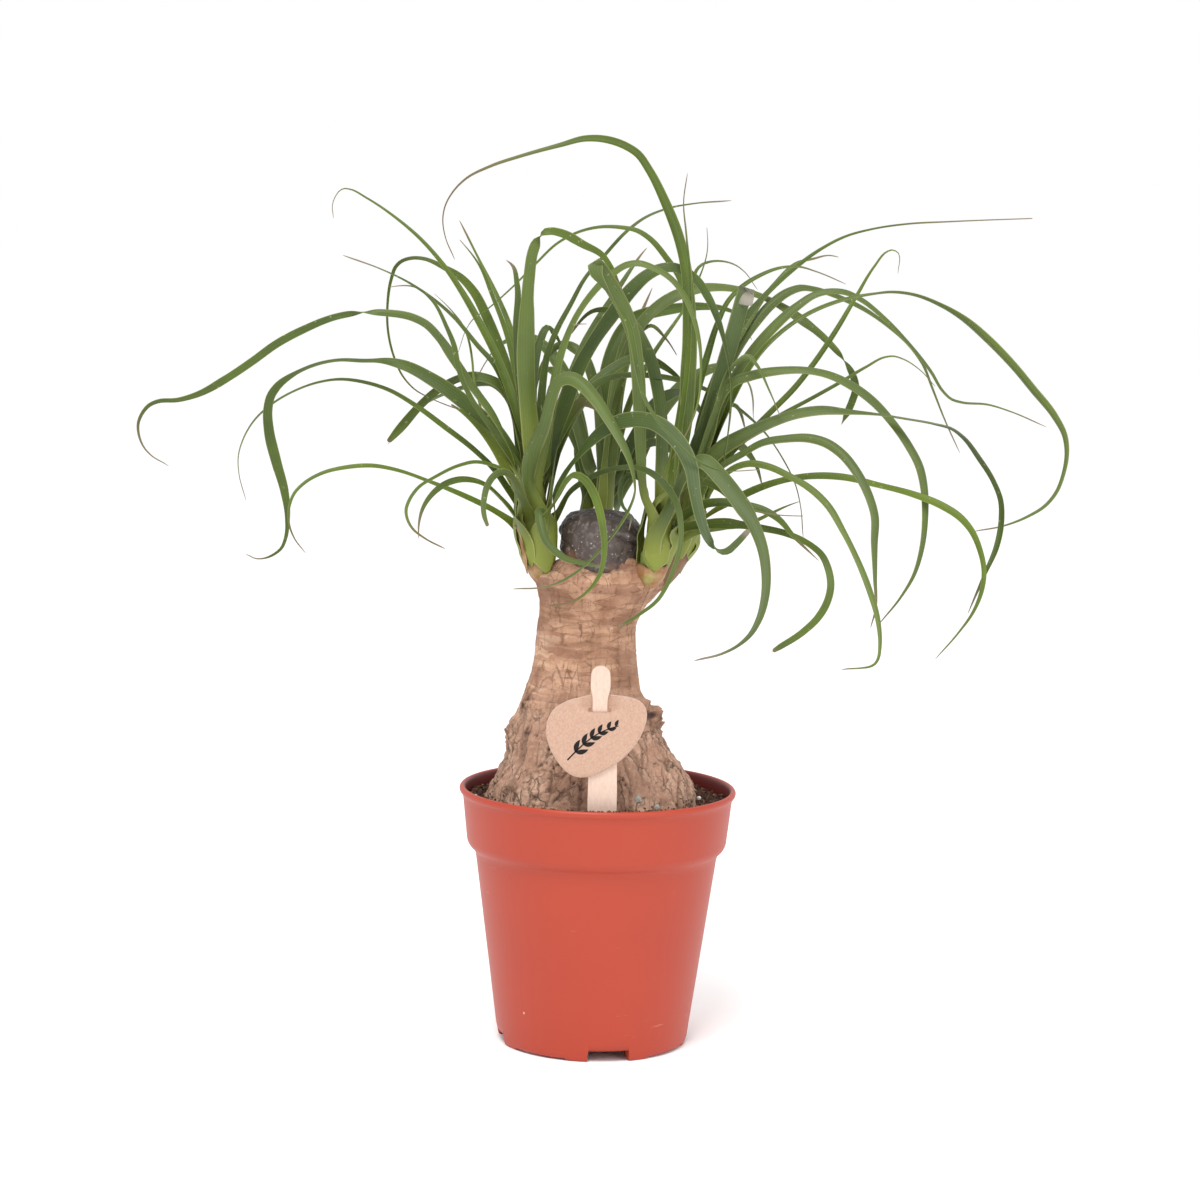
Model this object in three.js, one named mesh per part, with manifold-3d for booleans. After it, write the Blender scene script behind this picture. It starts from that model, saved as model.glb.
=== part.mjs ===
// Potted ponytail palm. Millimetres, +Z up, pot axis on Z, pot base on z = 0, front towards -Y.
import * as THREE from "three";
import { mergeVertices } from "three/addons/utils/BufferGeometryUtils.js";
import Module from "manifold-3d";

const manifoldLib = await Module();
manifoldLib.setup();
const { Manifold, Mesh: ManifoldMesh } = manifoldLib;

// ---- driving dimensions ----
const FIT_GAP = 0.35;
const POT_SEGMENTS = 40;
const POT_NOTCHES = 4;
const POT_NOTCH_WIDTH = 16.6;
const POT_NOTCH_TOP = 5;
const POT_NOTCH_ANGLE = -79.6;
const POT_FOOT_RADIUS = 39;
const POT_DRAINS = 6;
const POT_DRAIN_RADIUS = 3.6;
const POT_DRAIN_RING = 23;
const CUTTER_OVERLAP = 4;
const SOIL_LEVEL = 106;
const SOIL_WAVE = 0.7;
const TRUNK_SEGMENTS = 36;
const TRUNK_DEPTH_RATIO = 0.88;
const TRUNK_LOBES = 0.035;
const SEAL_SEGMENTS = 28;
const SEAL_TILT = 0.05;
const SHOOT_SEGMENTS = 16;
const STAKE_THICKNESS = 1.6;
const STAKE_FOOT_WIDTH = 12.4;
const STAKE_FOOT_Z = 85;
const STAKE_X = 2;
const STAKE_Y = -50;
const TAG_THICKNESS = 1.2;
const TAG_FORWARD = 2;

// Leaf blades: thickness, widths at base and tip, height of the clasping foot and how far it leans
// out, the part of the length over which the blade opens, and the largest length and turn (in
// radians) between two stations.
const LEAF_THICKNESS = 0.5;
const LEAF_BASE_WIDTH = 2.1;
const LEAF_TIP_WIDTH = 0.35;
const LEAF_FOOT_HEIGHT = 7;
const LEAF_FOOT_LEAN = 1.2;
const LEAF_OPEN_LENGTH = 0.24;
const LEAF_SAMPLES = 240;
const LEAF_STATION_LENGTH = 20;
const LEAF_STATION_TURN = 0.5;
const DEPTH_POWER = 1.1;

// The leaves are laid out as they look from this point (x, y, z), then moved along the line of
// sight to their own depth, so that the spread of the crown keeps its outline from the front.
// The shift (x, z) is added to every guide point, to bring it from a blade's edge to its middle.
const VIEW_POINT = [-1, -1370, 369];
const GUIDE_SHIFT = [0.8, -0.6];

// Pot wall as a closed outline of (radius, height), outside first and then down the inside.
const POT_OUTLINE = [
  [0, 5.6], [36.2, 5.6], [36.9, 4.8], [37.4, 0.5], [38, 0], [40.3, 0], [41, 0.6], [41.5, 2.4],
  [52.4, 82], [53.2, 84.3], [55.3, 86.2], [56.3, 88.2], [58.3, 107], [58.8, 108.6], [59.8, 109.6],
  [60, 110.9], [59.3, 112], [58.2, 112], [57.4, 111.2], [57, 109], [55.1, 89], [54.2, 87.3],
  [52.1, 85.4], [51.2, 83.6], [50.9, 82], [40.3, 8.6], [39, 7.1], [0, 7.1],
];

// Soil outline inside the pot, one fit gap off the wall; the top row is waved afterwards.
const SOIL_OUTLINE = [
  [0, 7.5], [38.8, 7.5], [39.9, 8.7], [50.5, 82.1], [50.8, 83.9], [51.8, 85.8], [53.8, 87.6],
  [54.7, 89.2], [56.35, 104.6], [55.8, 105.6], [51, 106.2], [44, 106.6], [0, 107.4],
];

// Trunk rows: height, left x, right x. The depth follows from the width.
const TRUNK_ROWS = [
  [80, -36, 32], [82, -42.6, 38], [88, -47, 42], [96, -49.6, 44], [103, -50, 44.4], [108, -48.4, 43.8],
  [114, -46, 42.4], [120, -42.6, 38.6], [127, -40, 32.6], [135, -38.6, 27.8], [144, -36, 23.2],
  [153, -32.7, 18.2], [162, -30, 16.2], [171, -28.5, 15.2], [180, -27.6, 14.9], [187, -27, 16.6],
  [193, -27, 20], [198, -27.8, 23.6], [202, -29, 25.6], [205, -28.4, 24.8], [206.4, -26.2, 22.6],
  [207, -21, 17],
];

// Wound seal rows: height, half width, half depth, round an upright line at SEAL_X.
const SEAL_X = -0.4;
const SEAL_ROWS = [
  [207.4, 15.6, 15.2], [208.4, 17.2, 16.6], [213, 18.1, 17.4], [219, 18.3, 17.5], [225, 17.6, 16.6],
  [229, 15.4, 14.4], [231.2, 11.4, 10.6], [232.2, 6, 5.6],
];

// Shoot cores: foot point, head point and size. The profile gives radius over size along the core,
// and the leaves stand on three rings at these parts of its height and radius.
const SHOOTS = {
  left_shoot: { foot: [-27, -5, 207.5], head: [-30.5, -5, 232], size: 7.0 },
  right_shoot: { foot: [20.4, -15, 207.5], head: [24.6, -15, 231], size: 6.4 },
  far_right_shoot: { foot: [27.4, 3.5, 207.5], head: [36.6, 5, 229], size: 6.4 },
  back_shoot: { foot: [-2, 25, 207.5], head: [-3, 28, 230], size: 6.0 },
};
const CORE_PROFILE = [
  [0, 0.55], [0.06, 0.8], [0.3, 0.92], [0.38, 0.72], [0.62, 0.62], [0.7, 0.42], [1, 0.28],
];
const RING_HEIGHTS = [0.34, 0.66, 0.96];
const RING_RADII = [1.02, 0.78, 0.52];

const MATERIALS = {
  pot_plastic: new THREE.MeshStandardMaterial({ color: 0xcc5a46, roughness: 0.45 }),
  peat: new THREE.MeshStandardMaterial({ color: 0x3a2a20, roughness: 0.95 }),
  bark: new THREE.MeshStandardMaterial({ color: 0xb08864, roughness: 0.85 }),
  wax: new THREE.MeshStandardMaterial({ color: 0x564c50, roughness: 0.5 }),
  shoot_green: new THREE.MeshStandardMaterial({ color: 0x9aab55, roughness: 0.5 }),
  leaf_green: new THREE.MeshStandardMaterial({ color: 0x64803f, roughness: 0.45 }),
  birch: new THREE.MeshStandardMaterial({ color: 0xe3c19c, roughness: 0.7 }),
  kraft_board: new THREE.MeshStandardMaterial({ color: 0xcf9f7a, roughness: 0.85 }),
};

const object = new THREE.Group();
object.name = "potted_ponytail_palm";

function addNode(name, geometry, materialName) {
  const mesh = new THREE.Mesh(geometry, MATERIALS[materialName].clone());
  mesh.name = name;
  object.add(mesh);
}

function geometryFrom(points, triangles) {
  const geometry = new THREE.BufferGeometry();
  geometry.setAttribute("position", new THREE.Float32BufferAttribute(points.flat(), 3));
  geometry.setIndex(triangles.flat());
  return geometry;
}

function toSolid(geometry) {
  const plain = geometry.clone();
  plain.deleteAttribute("normal");
  plain.deleteAttribute("uv");
  const merged = mergeVertices(plain, 1e-4);
  const mesh = new ManifoldMesh({
    numProp: 3,
    vertProperties: new Float32Array(merged.attributes.position.array),
    triVerts: new Uint32Array(merged.index.array),
  });
  return new Manifold(mesh);
}

function fromSolid(solid) {
  const mesh = solid.getMesh();
  const geometry = new THREE.BufferGeometry();
  geometry.setAttribute("position", new THREE.BufferAttribute(new Float32Array(mesh.vertProperties), 3));
  geometry.setIndex(new THREE.BufferAttribute(new Uint32Array(mesh.triVerts), 1));
  return geometry;
}

// A closed skin from rings of equal length, with a fan at each end; rings run anticlockwise
// seen from the end they travel to. The second half of each ring is split along the mirrored
// diagonal, so that the upper and the lower face of a thin twisted blade warp alike.
function skin(rings, startPoint, endPoint) {
  const count = rings[0].length;
  const points = rings.flat();
  const triangles = [];
  for (let row = 0; row + 1 < rings.length; row += 1) {
    for (let i = 0; i < count; i += 1) {
      const a = row * count + i;
      const b = row * count + ((i + 1) % count);
      if (i < count / 2) {
        triangles.push([a, b, b + count]);
        triangles.push([a, b + count, a + count]);
      } else {
        triangles.push([a, b, a + count]);
        triangles.push([b, b + count, a + count]);
      }
    }
  }
  const start = points.push(startPoint) - 1;
  const end = points.push(endPoint) - 1;
  const last = (rings.length - 1) * count;
  for (let i = 0; i < count; i += 1) {
    const next = (i + 1) % count;
    triangles.push([start, next, i]);
    triangles.push([end, last + i, last + next]);
  }
  return geometryFrom(points, triangles);
}

// Turns an outline of (radius, height) that starts and ends on the axis about Z.
function turned(outline, segments, wave) {
  const rings = outline.slice(1, -1).map(([radius, height]) => {
    const ring = [];
    for (let i = 0; i < segments; i += 1) {
      const angle = (2 * Math.PI * i) / segments;
      const lift = wave ? wave(radius, angle, height) : 0;
      ring.push([radius * Math.cos(angle), radius * Math.sin(angle), height + lift]);
    }
    return ring;
  });
  const first = outline[0];
  const last = outline[outline.length - 1];
  return skin(rings, [0, 0, first[1]], [0, 0, last[1]]);
}

function block(width, depth, height, centre, turnDegrees) {
  const geometry = new THREE.BoxGeometry(width, depth, height);
  geometry.rotateZ((turnDegrees * Math.PI) / 180);
  geometry.translate(...centre);
  return toSolid(geometry);
}

// ---- pot: turned wall and floor, notches in the foot ring, drain holes ----
let pot = toSolid(turned(POT_OUTLINE, POT_SEGMENTS, null));
for (let i = 0; i < POT_NOTCHES; i += 1) {
  const degrees = POT_NOTCH_ANGLE + (360 * i) / POT_NOTCHES;
  const radians = (degrees * Math.PI) / 180;
  const centre = [
    POT_FOOT_RADIUS * Math.cos(radians),
    POT_FOOT_RADIUS * Math.sin(radians),
    POT_NOTCH_TOP - CUTTER_OVERLAP,
  ];
  const size = 2 * CUTTER_OVERLAP;
  pot = pot.subtract(block(size + 1, POT_NOTCH_WIDTH, size, centre, degrees));
}
for (let i = 0; i < POT_DRAINS; i += 1) {
  const radians = (2 * Math.PI * i) / POT_DRAINS;
  const drill = new THREE.CylinderGeometry(POT_DRAIN_RADIUS, POT_DRAIN_RADIUS, 3 * CUTTER_OVERLAP, 16);
  drill.rotateX(Math.PI / 2);
  drill.translate(
    POT_DRAIN_RING * Math.cos(radians),
    POT_DRAIN_RING * Math.sin(radians),
    POT_OUTLINE[0][1],
  );
  pot = pot.subtract(toSolid(drill));
}
addNode("pot", fromSolid(pot), "pot_plastic");

// ---- trunk: rows of lobed ovals, swollen at the foot, flared at the head ----
function trunkGeometry(growth) {
  const rings = TRUNK_ROWS.map(([height, left, right], row) => {
    const halfWidth = (right - left) / 2;
    const centre = (right + left) / 2;
    const swollen = Math.max(0, Math.min(1, (150 - height) / 45));
    const ring = [];
    for (let i = 0; i < TRUNK_SEGMENTS; i += 1) {
      const angle = (2 * Math.PI * i) / TRUNK_SEGMENTS;
      const side = Math.sin(angle) ** 2;
      const ripple = (TRUNK_LOBES / 3) * Math.sin(3 * angle + row * 0.3);
      const lobes = TRUNK_LOBES * swollen * Math.sin(5 * angle + 0.4) + ripple;
      const scale = 1 + side * lobes;
      const x = centre + (halfWidth * scale + growth) * Math.cos(angle);
      const y = (halfWidth * TRUNK_DEPTH_RATIO * scale + growth) * Math.sin(angle);
      ring.push([x, y, height]);
    }
    return ring;
  });
  const foot = [0, 0, TRUNK_ROWS[0][0] - growth];
  const head = [-2, 0, TRUNK_ROWS[TRUNK_ROWS.length - 1][0] + 0.05];
  return skin(rings, foot, head);
}
addNode("trunk", trunkGeometry(0), "bark");

// ---- soil: fills the pot, with a pocket for the trunk and a slot for the stake ----
function soilWave(radius, angle, height) {
  if (height < SOIL_LEVEL - 0.5) {
    return 0;
  }
  return SOIL_WAVE * (Math.sin(3 * angle + 0.1 * radius) * 0.6 + Math.sin(7 * angle - 0.2 * radius) * 0.4);
}
const slotHeight = SOIL_LEVEL - STAKE_FOOT_Z + 2 * CUTTER_OVERLAP;
const stakeSlot = block(
  STAKE_FOOT_WIDTH + 2 * FIT_GAP,
  STAKE_THICKNESS + 2 * FIT_GAP,
  slotHeight,
  [STAKE_X, STAKE_Y, STAKE_FOOT_Z - FIT_GAP + slotHeight / 2],
  0,
);
const soil = toSolid(turned(SOIL_OUTLINE, POT_SEGMENTS, soilWave))
  .subtract(toSolid(trunkGeometry(FIT_GAP)))
  .subtract(stakeSlot);
addNode("soil", fromSolid(soil), "peat");

// ---- wound seal: a loaf-shaped cap on the cut head of the trunk ----
const sealBottom = SEAL_ROWS[0][0];
const sealTop = SEAL_ROWS[SEAL_ROWS.length - 1][0];
const sealRings = SEAL_ROWS.map(([height, halfWidth, halfDepth], row) => {
  const ring = [];
  for (let i = 0; i < SEAL_SEGMENTS; i += 1) {
    const angle = (2 * Math.PI * i) / SEAL_SEGMENTS;
    const dent = 1 + 0.02 * Math.sin(3 * angle + row);
    const x = SEAL_X + halfWidth * dent * Math.cos(angle);
    const drop = (SEAL_TILT * (x - SEAL_X) * (height - sealBottom)) / (sealTop - sealBottom);
    ring.push([x, halfDepth * dent * Math.sin(angle), height - drop]);
  }
  return ring;
});
addNode("wound_seal", skin(sealRings, [SEAL_X, 0, sealBottom], [SEAL_X - 2, 0, sealTop + 0.4]), "wax");

// ---- shoots: short leaning cores that the leaves stand round ----
function coreAxes(shoot) {
  const foot = new THREE.Vector3(...shoot.foot);
  const head = new THREE.Vector3(...shoot.head);
  const along = head.clone().sub(foot).normalize();
  const side = new THREE.Vector3(1, 0, 0);
  side.addScaledVector(along, -side.dot(along)).normalize();
  const back = along.clone().cross(side);
  return { foot, head, along, side, back };
}

function corePoint(shoot, fraction, radius, angle) {
  const { foot, head, side, back } = coreAxes(shoot);
  const point = foot.clone().lerp(head, fraction);
  point.addScaledVector(side, radius * Math.cos(angle));
  point.addScaledVector(back, radius * Math.sin(angle));
  return point;
}

for (const [name, shoot] of Object.entries(SHOOTS)) {
  const rings = CORE_PROFILE.map(([fraction, swell]) => {
    const ring = [];
    for (let i = 0; i < SHOOT_SEGMENTS; i += 1) {
      const angle = (2 * Math.PI * i) / SHOOT_SEGMENTS;
      ring.push(corePoint(shoot, fraction, shoot.size * swell, angle).toArray());
    }
    return ring;
  });
  const lowest = rings[0].reduce((low, point) => Math.min(low, point[2]), 1e9);
  const lift = shoot.foot[2] - lowest;
  for (const ring of rings) {
    for (const point of ring) {
      point[2] += lift;
    }
  }
  const foot = [shoot.foot[0], shoot.foot[1], shoot.foot[2] + lift];
  const head = [shoot.head[0], shoot.head[1], shoot.head[2] + lift + 0.6];
  addNode(name, skin(rings, foot, head), "shoot_green");
}

// ---- leaves ----
// Each row: shoot, width from near the base to the tip, turn of the blade towards the front,
// reach in depth at the tip (minus comes forward), and guide points (x, z) as seen from the front,
// with a third number where a point lies that much further back (or forward) than the even slope.
const LEAVES = [];
function leaf(shoot, widths, turns, reach, guide) {
  LEAVES.push({ shoot, widths, turns, reach, guide });
}

// left shoot, outer leaves falling to the left
leaf("left_shoot", [5, 4.4, 3.8, 4.6, 4, 2.2], [-1, -0.7, 0.15, 1.2, 0.8], -6, [
  [-36, 240, -2.6], [-46, 267, -2.6], [-61, 288], [-79, 311], [-93, 315], [-114, 314], [-140, 302.5],
  [-160, 288], [-180, 277], [-196, 274], [-201.5, 265], [-198, 254], [-189, 248]]);
leaf("left_shoot", [5, 4.2, 3.6, 2.6, 1.4], [-0.8, -0.6, -0.4], 45, [
  [-34, 250], [-44, 287], [-54, 308], [-64, 325], [-80, 345], [-100, 360.5], [-115, 367.3],
  [-119.3, 361.4], [-119, 355.5]]);
leaf("left_shoot", [6, 5.8, 5.4, 3.2, 1.4, 1], [2, 2.4, 0.5, 0.3], 68, [
  [-33, 245], [-37, 265], [-42, 287], [-48, 304], [-54.4, 318], [-61.6, 329], [-73, 336], [-83.4, 339.1],
  [-91.5, 336], [-95, 323], [-95.2, 308.6], [-90.7, 292.6], [-84.6, 284], [-72.5, 277.6], [-64.5, 274.8]]);
leaf("left_shoot", [8.4, 7.6, 5.6, 5.4, 5.4, 4.6, 1.6], [-1.2, -0.9, -0.5, 0.5, 2, 1.6], 45, [
  [-38, 251], [-48, 265], [-62, 278], [-76, 287.4], [-91, 294], [-106, 294.5], [-120, 294], [-135, 288],
  [-144, 280], [-146, 270], [-143, 254], [-138.5, 238.4], [-137, 225], [-139.6, 213], [-149, 208.3],
  [-154, 210]]);
leaf("left_shoot", [4, 3, 2.4, 2, 1.4], [-0.8, -0.7, -0.6], 46, [
  [-39, 236], [-51, 252], [-66, 264], [-82, 275.5], [-95, 282.6], [-109, 286], [-121, 285.7],
  [-139, 278.6], [-152, 267.5], [-158, 254.6], [-158, 245], [-155, 234]]);
leaf("left_shoot", [4, 3.4, 3, 2.4, 1.8], [-0.8, -0.7, -0.7], -40, [
  [-40, 226], [-51, 233], [-65, 239], [-84, 246], [-98, 249.4], [-115, 248], [-126, 244], [-134, 237],
  [-136.5, 227], [-134, 218], [-129.5, 212]]);
leaf("left_shoot", [5.6, 5.2, 4.6, 3.2], [-0.9, -0.8, -0.4], 74, [
  [-35, 245], [-38, 262], [-42, 278], [-49.6, 285.6], [-59, 284.7], [-72, 280.5], [-82.6, 274],
  [-90, 265], [-94, 259.5]]);
leaf("left_shoot", [3.4, 2.6, 2, 1.4], [-0.9, -0.8, -0.7], -72, [
  [-41, 246], [-51, 251.5], [-59, 252], [-70.6, 247], [-81, 240.6], [-86, 231], [-83.4, 223.5],
  [-76, 218], [-69.6, 215]]);
leaf("left_shoot", [4.6, 4.2, 3.8, 2.4], [-1, -0.9, -0.9], -58, [
  [-39, 229], [-45, 236.4], [-52.5, 242.6], [-62.5, 244.5], [-71.6, 241], [-78.5, 232.4], [-80.6, 223],
  [-80.4, 219.6]]);
leaf("left_shoot", [4.6, 4.2, 3.6, 2.2], [-0.9, -1, -1], -88, [
  [-38, 241], [-42, 247.5], [-46, 248.3], [-50, 245], [-52.5, 237.7], [-52.3, 228.6], [-51, 225.4]]);

// left shoot, upright leaves
leaf("left_shoot", [4.6, 3.4, 2, 1.2], [-1, -1, -1], 29, [
  [-36, 255], [-41, 275], [-48.5, 293], [-55.6, 301], [-69, 316], [-82.6, 326], [-94, 332], [-114, 339]]);
leaf("left_shoot", [5, 3.8, 2.6, 1.6], [-1.4, -1.2, -1], 44, [
  [-33, 255], [-38.5, 292], [-40.5, 303], [-46.5, 319], [-57.4, 340], [-65, 354.4]]);
leaf("left_shoot", [8, 8, 7.6, 5.4, 3.6, 2.4], [-2.6, -2.6, -0.9], -8, [
  [-32.6, 255], [-35.6, 290], [-36, 313], [-35.6, 328], [-34.2, 340], [-32.4, 347], [-29, 351],
  [-24, 351.4], [-14, 347], [-4, 341.6], [1, 334], [5, 326]]);
leaf("left_shoot", [4.6, 3.6, 2.6, 1.8, 1.2], [-1, -0.8, -0.8], 30, [
  [-29, 256], [-26.4, 300], [-18, 319], [-12, 331], [-1, 344.5], [10, 356], [20.4, 361.4], [30, 364],
  [49, 366.2]]);
leaf("left_shoot", [5.6, 4.8, 3.8, 2.8, 1.6], [-1.4, -1.2, -0.6], -34, [
  [-27.6, 258], [-24, 288], [-20.4, 303], [-12.4, 320.6], [0.4, 334.7], [9, 339], [18, 337], [28, 330],
  [36.8, 311.7], [39, 289], [36.7, 274.6], [28, 256.4]]);
leaf("left_shoot", [8.4, 8.6, 7.6, 5.6, 4, 2.4], [-1.2, -1.2, -0.9, 0.5], -11, [
  [-22, 262], [-15, 288], [-8, 303], [1, 317], [9, 328], [18, 335.5], [26.3, 337.2], [35, 333],
  [42, 323], [47.5, 309], [51.6, 290], [51.7, 271], [50, 257], [49.6, 244]]);
leaf("left_shoot", [7.4, 7, 6, 4.4], [-1.5, -1.4, -1], 44, [
  [-24, 258], [-16, 286], [-10, 305], [-5, 312.5], [2, 319], [9, 325]]);

// left shoot, leaves over the seal and to the front
leaf("left_shoot", [8.6, 8, 6, 4.6, 3, 1.4], [-2.4, -1.4, 0.8, 0.8], -84, [
  [-33.4, 243], [-33, 256], [-28, 270], [-25.4, 281], [-22, 288.5], [-16, 289.6], [-8, 283.6],
  [-0.6, 273.5], [6.4, 262], [11.2, 250], [11.6, 238.5], [5.4, 225.5], [-2, 216], [-12.4, 205.6],
  [-24.3, 199.5], [-38.7, 198]]);
leaf("left_shoot", [6.6, 6.4, 6.6, 7, 5, 2.6], [-1.4, -1, -2, -2, 0.6], -100, [
  [-22.4, 238], [-18, 248], [-11, 258], [-3, 266.6], [8, 272], [20, 271], [30, 263], [35.6, 253],
  [38.3, 239], [42, 226.6], [46.6, 218.4], [51.4, 216.3], [55.6, 219.4], [61, 225.4]]);
leaf("left_shoot", [4.6, 4, 3, 2.4, 1.4], [-1, -0.9, 0.8], -70, [
  [-20, 232], [-16.5, 239.5], [-4, 248.6], [9, 251.7], [18.7, 249.7], [29, 239], [32.3, 226],
  [31.3, 214], [24, 196], [16.4, 189], [6.7, 182.8]]);
leaf("left_shoot", [4.4, 4, 3.4, 2.4, 1.2], [-1.2, -1.6, -1.6], -122, [
  [-20, 240], [-14.5, 247.4], [-10, 246], [-5.6, 240], [-2, 228.5], [-0.5, 214.5], [-3, 203.5],
  [-12, 194], [-24, 191]]);
leaf("left_shoot", [4.6, 4.2, 3.4, 2.4], [-1.8, -1.6, -1], -53, [
  [-28.4, 232], [-27.6, 225], [-25, 218.4], [-17, 211.8], [-10.6, 210.4], [-3.5, 208.8], [0.8, 208]]);
leaf("left_shoot", [7.4, 7, 6, 4], [-1.2, -1.2, -1.2], 8, [
  [-28.4, 248, 1.5], [-23, 262, 0.8], [-17, 273], [-11.6, 279], [-6, 277.4], [0, 272.5], [5, 266]]);
leaf("left_shoot", [5, 4.6, 3.8, 2.6, 1.2], [-0.9, -0.8, 0.4], 27, [
  [-20, 262], [-12, 279], [-6, 286.4], [4, 290.4], [17.5, 290.7], [32, 288.7], [50, 281.4],
  [66.6, 268.5], [76.3, 255], [82.2, 242], [84.8, 224]]);

// right shoot, upright leaves and the top arch
leaf("right_shoot", [7, 7, 6, 4.4, 3, 1.4], [-2.2, -1.4, -0.8], 0, [
  [30, 245], [33.2, 290], [33.2, 315], [30.3, 340], [25.3, 356], [18, 371.3], [9.2, 384.8], [0, 389.3],
  [-10.6, 390.8], [-30, 385.4], [-50, 379.3], [-65, 371], [-72, 359.5], [-71.5, 349], [-67.4, 339.3]]);
leaf("right_shoot", [4, 3, 2.4, 1.6], [-1.2, -1.2, -1], -14, [
  [30.5, 262, -2], [33.6, 300, -1], [33.8, 329], [31, 353], [29.6, 366], [30.8, 376.5]]);
leaf("right_shoot", [4.6, 3.8, 3, 2.2, 1.4], [-1, -0.9, -0.8], 40, [
  [29, 262], [33, 300], [30, 330], [23, 341], [12, 351.7], [0, 353.8], [-10, 352.8], [-22, 347.5],
  [-38.7, 331], [-50, 320], [-60, 312], [-65, 299]]);
leaf("right_shoot", [5.6, 5.6, 5.4, 3.6, 2, 1], [-1, -2, -1.4, 0.4], -64, [
  [17.6, 229], [16, 240, 2], [14, 262, 6], [12.4, 290, 9], [8.6, 312, 11], [1.6, 326, 11], [-5.2, 336, 8],
  [-7.2, 337.6, 4], [-6.4, 334, 0], [-2.6, 328, -2], [2.6, 320.6, -2], [7.3, 313, -1], [9.4, 305],
  [11.4, 295], [15, 282], [20, 273.6], [28, 264.4], [38, 255.6], [48.5, 251.4], [64.7, 252]]);
leaf("right_shoot", [4, 3.4, 2.6, 1.6], [-1, -0.8, -0.8], 30, [
  [32.5, 262], [35, 300], [34, 328], [37, 338], [45, 340.6], [54.3, 338], [61.6, 329.5]]);
leaf("right_shoot", [4.6, 4, 3, 2], [-1, -0.8, -0.8], 32, [
  [31, 258], [39, 290], [46, 315], [52.4, 327], [67.6, 337], [79, 339], [90, 336], [99, 332.4]]);
leaf("right_shoot", [7.6, 7.4, 7, 6.6, 5.4, 3.2], [-1, -1, -1], -74, [
  [26, 232], [33, 249], [40, 255.6], [47.4, 250], [55, 241], [62, 231], [68.2, 216], [69.5, 203],
  [68.4, 192], [63.7, 181], [54.6, 173.4], [40.2, 168.8]]);
leaf("right_shoot", [5, 4.4, 4.2, 4], [-0.9, -0.9, -1], -52, [
  [27, 225], [36, 227], [44.7, 228], [54, 228.4], [69.7, 226.5], [79, 224.4], [92.8, 216.4],
  [97.4, 203.5], [95.2, 193.4], [88.6, 184.5], [74, 174]]);
leaf("right_shoot", [4.6, 4.2, 3.4, 2], [-1, -1, -1], -11, [
  [16.4, 232], [17, 240], [13.4, 247], [9, 248], [6, 243], [6.6, 236], [10.6, 230], [10, 225.4]]);

leaf("right_shoot", [6, 5, 4.4, 3], [-1.2, -1, -0.9], -30, [
  [24.4, 218], [29, 225], [34.4, 231.6], [41, 236], [48, 237.4], [55.7, 237], [71, 233], [83.3, 221],
  [91.3, 214]]);

// far right shoot, arches to the right
leaf("far_right_shoot", [4.6, 4, 3, 1.8, 1], [-0.9, -0.8, -0.8], 36, [
  [38, 262, -1.5], [47, 295, 0.8], [59, 319], [70.7, 332], [85, 344.4], [99.3, 352.6], [120, 357.6],
  [148, 360], [177, 361.8]]);
leaf("far_right_shoot", [6, 5.4, 4.8, 4.2, 3.4, 2], [-1, -0.9, -0.8], 71, [
  [41, 262], [47, 288], [55.7, 307], [70, 325], [80, 330.5], [90.4, 329], [107, 322.5], [122, 312],
  [132.5, 301], [141.7, 280], [150.5, 262]]);
leaf("far_right_shoot", [6, 5.4, 4.8, 3.8, 2.4, 1.4], [-1, -0.9, -0.8], 14, [
  [41, 258], [49, 283], [59.7, 302], [75, 319], [87, 328], [100, 329], [114, 320.5], [129, 306],
  [138, 295], [146, 284.6], [164.5, 282], [178, 277.3], [186.7, 273.7]]);
leaf("far_right_shoot", [5, 4.4, 3.8, 4.8, 4.6, 2.2], [-1, -0.7, 0.2, 1.3, 1], -25, [
  [42, 250], [51, 277], [62.8, 300], [76.4, 314], [90, 322], [107, 327.5], [125, 329], [146, 321],
  [163, 308], [180, 290], [194.7, 271], [196, 257.5], [190.4, 242], [175, 232], [158.4, 227.8]]);
leaf("far_right_shoot", [5.4, 5.2, 5, 4.6, 3.8], [-1, -0.9, -0.9], -41, [
  [42, 262], [47, 282], [52.5, 289.5], [66.6, 294], [81, 295.6], [95, 293.3, 2], [112, 283.7, 4],
  [126.3, 268, 3], [135, 252.6], [137.4, 228], [134, 210], [129.6, 201], [118.4, 186]]);
leaf("far_right_shoot", [8.4, 8, 6.8, 5, 4, 3], [-1, -0.9, -0.5, 0.3, 1.2, 1.2], -50, [
  [38, 243], [45, 258], [60, 268.6], [74, 275], [88, 278.6], [109.5, 277.6], [133.6, 274.4], [148.6, 271],
  [161, 257], [169.2, 242], [169, 224.4], [163.3, 208.4], [157.2, 192.7]]);
leaf("far_right_shoot", [5, 4.8, 4.8, 4.8, 3.4], [-0.9, -0.9, -1], -77, [
  [39, 239], [47, 252], [55.5, 258], [67, 264.7], [79, 266.4], [90, 266], [100, 260.5], [108.4, 250.5],
  [115.3, 235], [115.8, 217], [117, 192], [115.4, 185.6]]);
leaf("far_right_shoot", [4.6, 4.4, 4, 3.8, 2.8], [-0.9, -0.8, -0.8], -62, [
  [40, 228], [50, 235.6], [60, 241.4], [75, 247.4], [96.3, 250], [120.5, 245.5], [142, 239.3],
  [155.7, 229.6], [163, 210], [159.7, 194.4], [153.6, 184.4], [144, 172.4]]);
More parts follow.
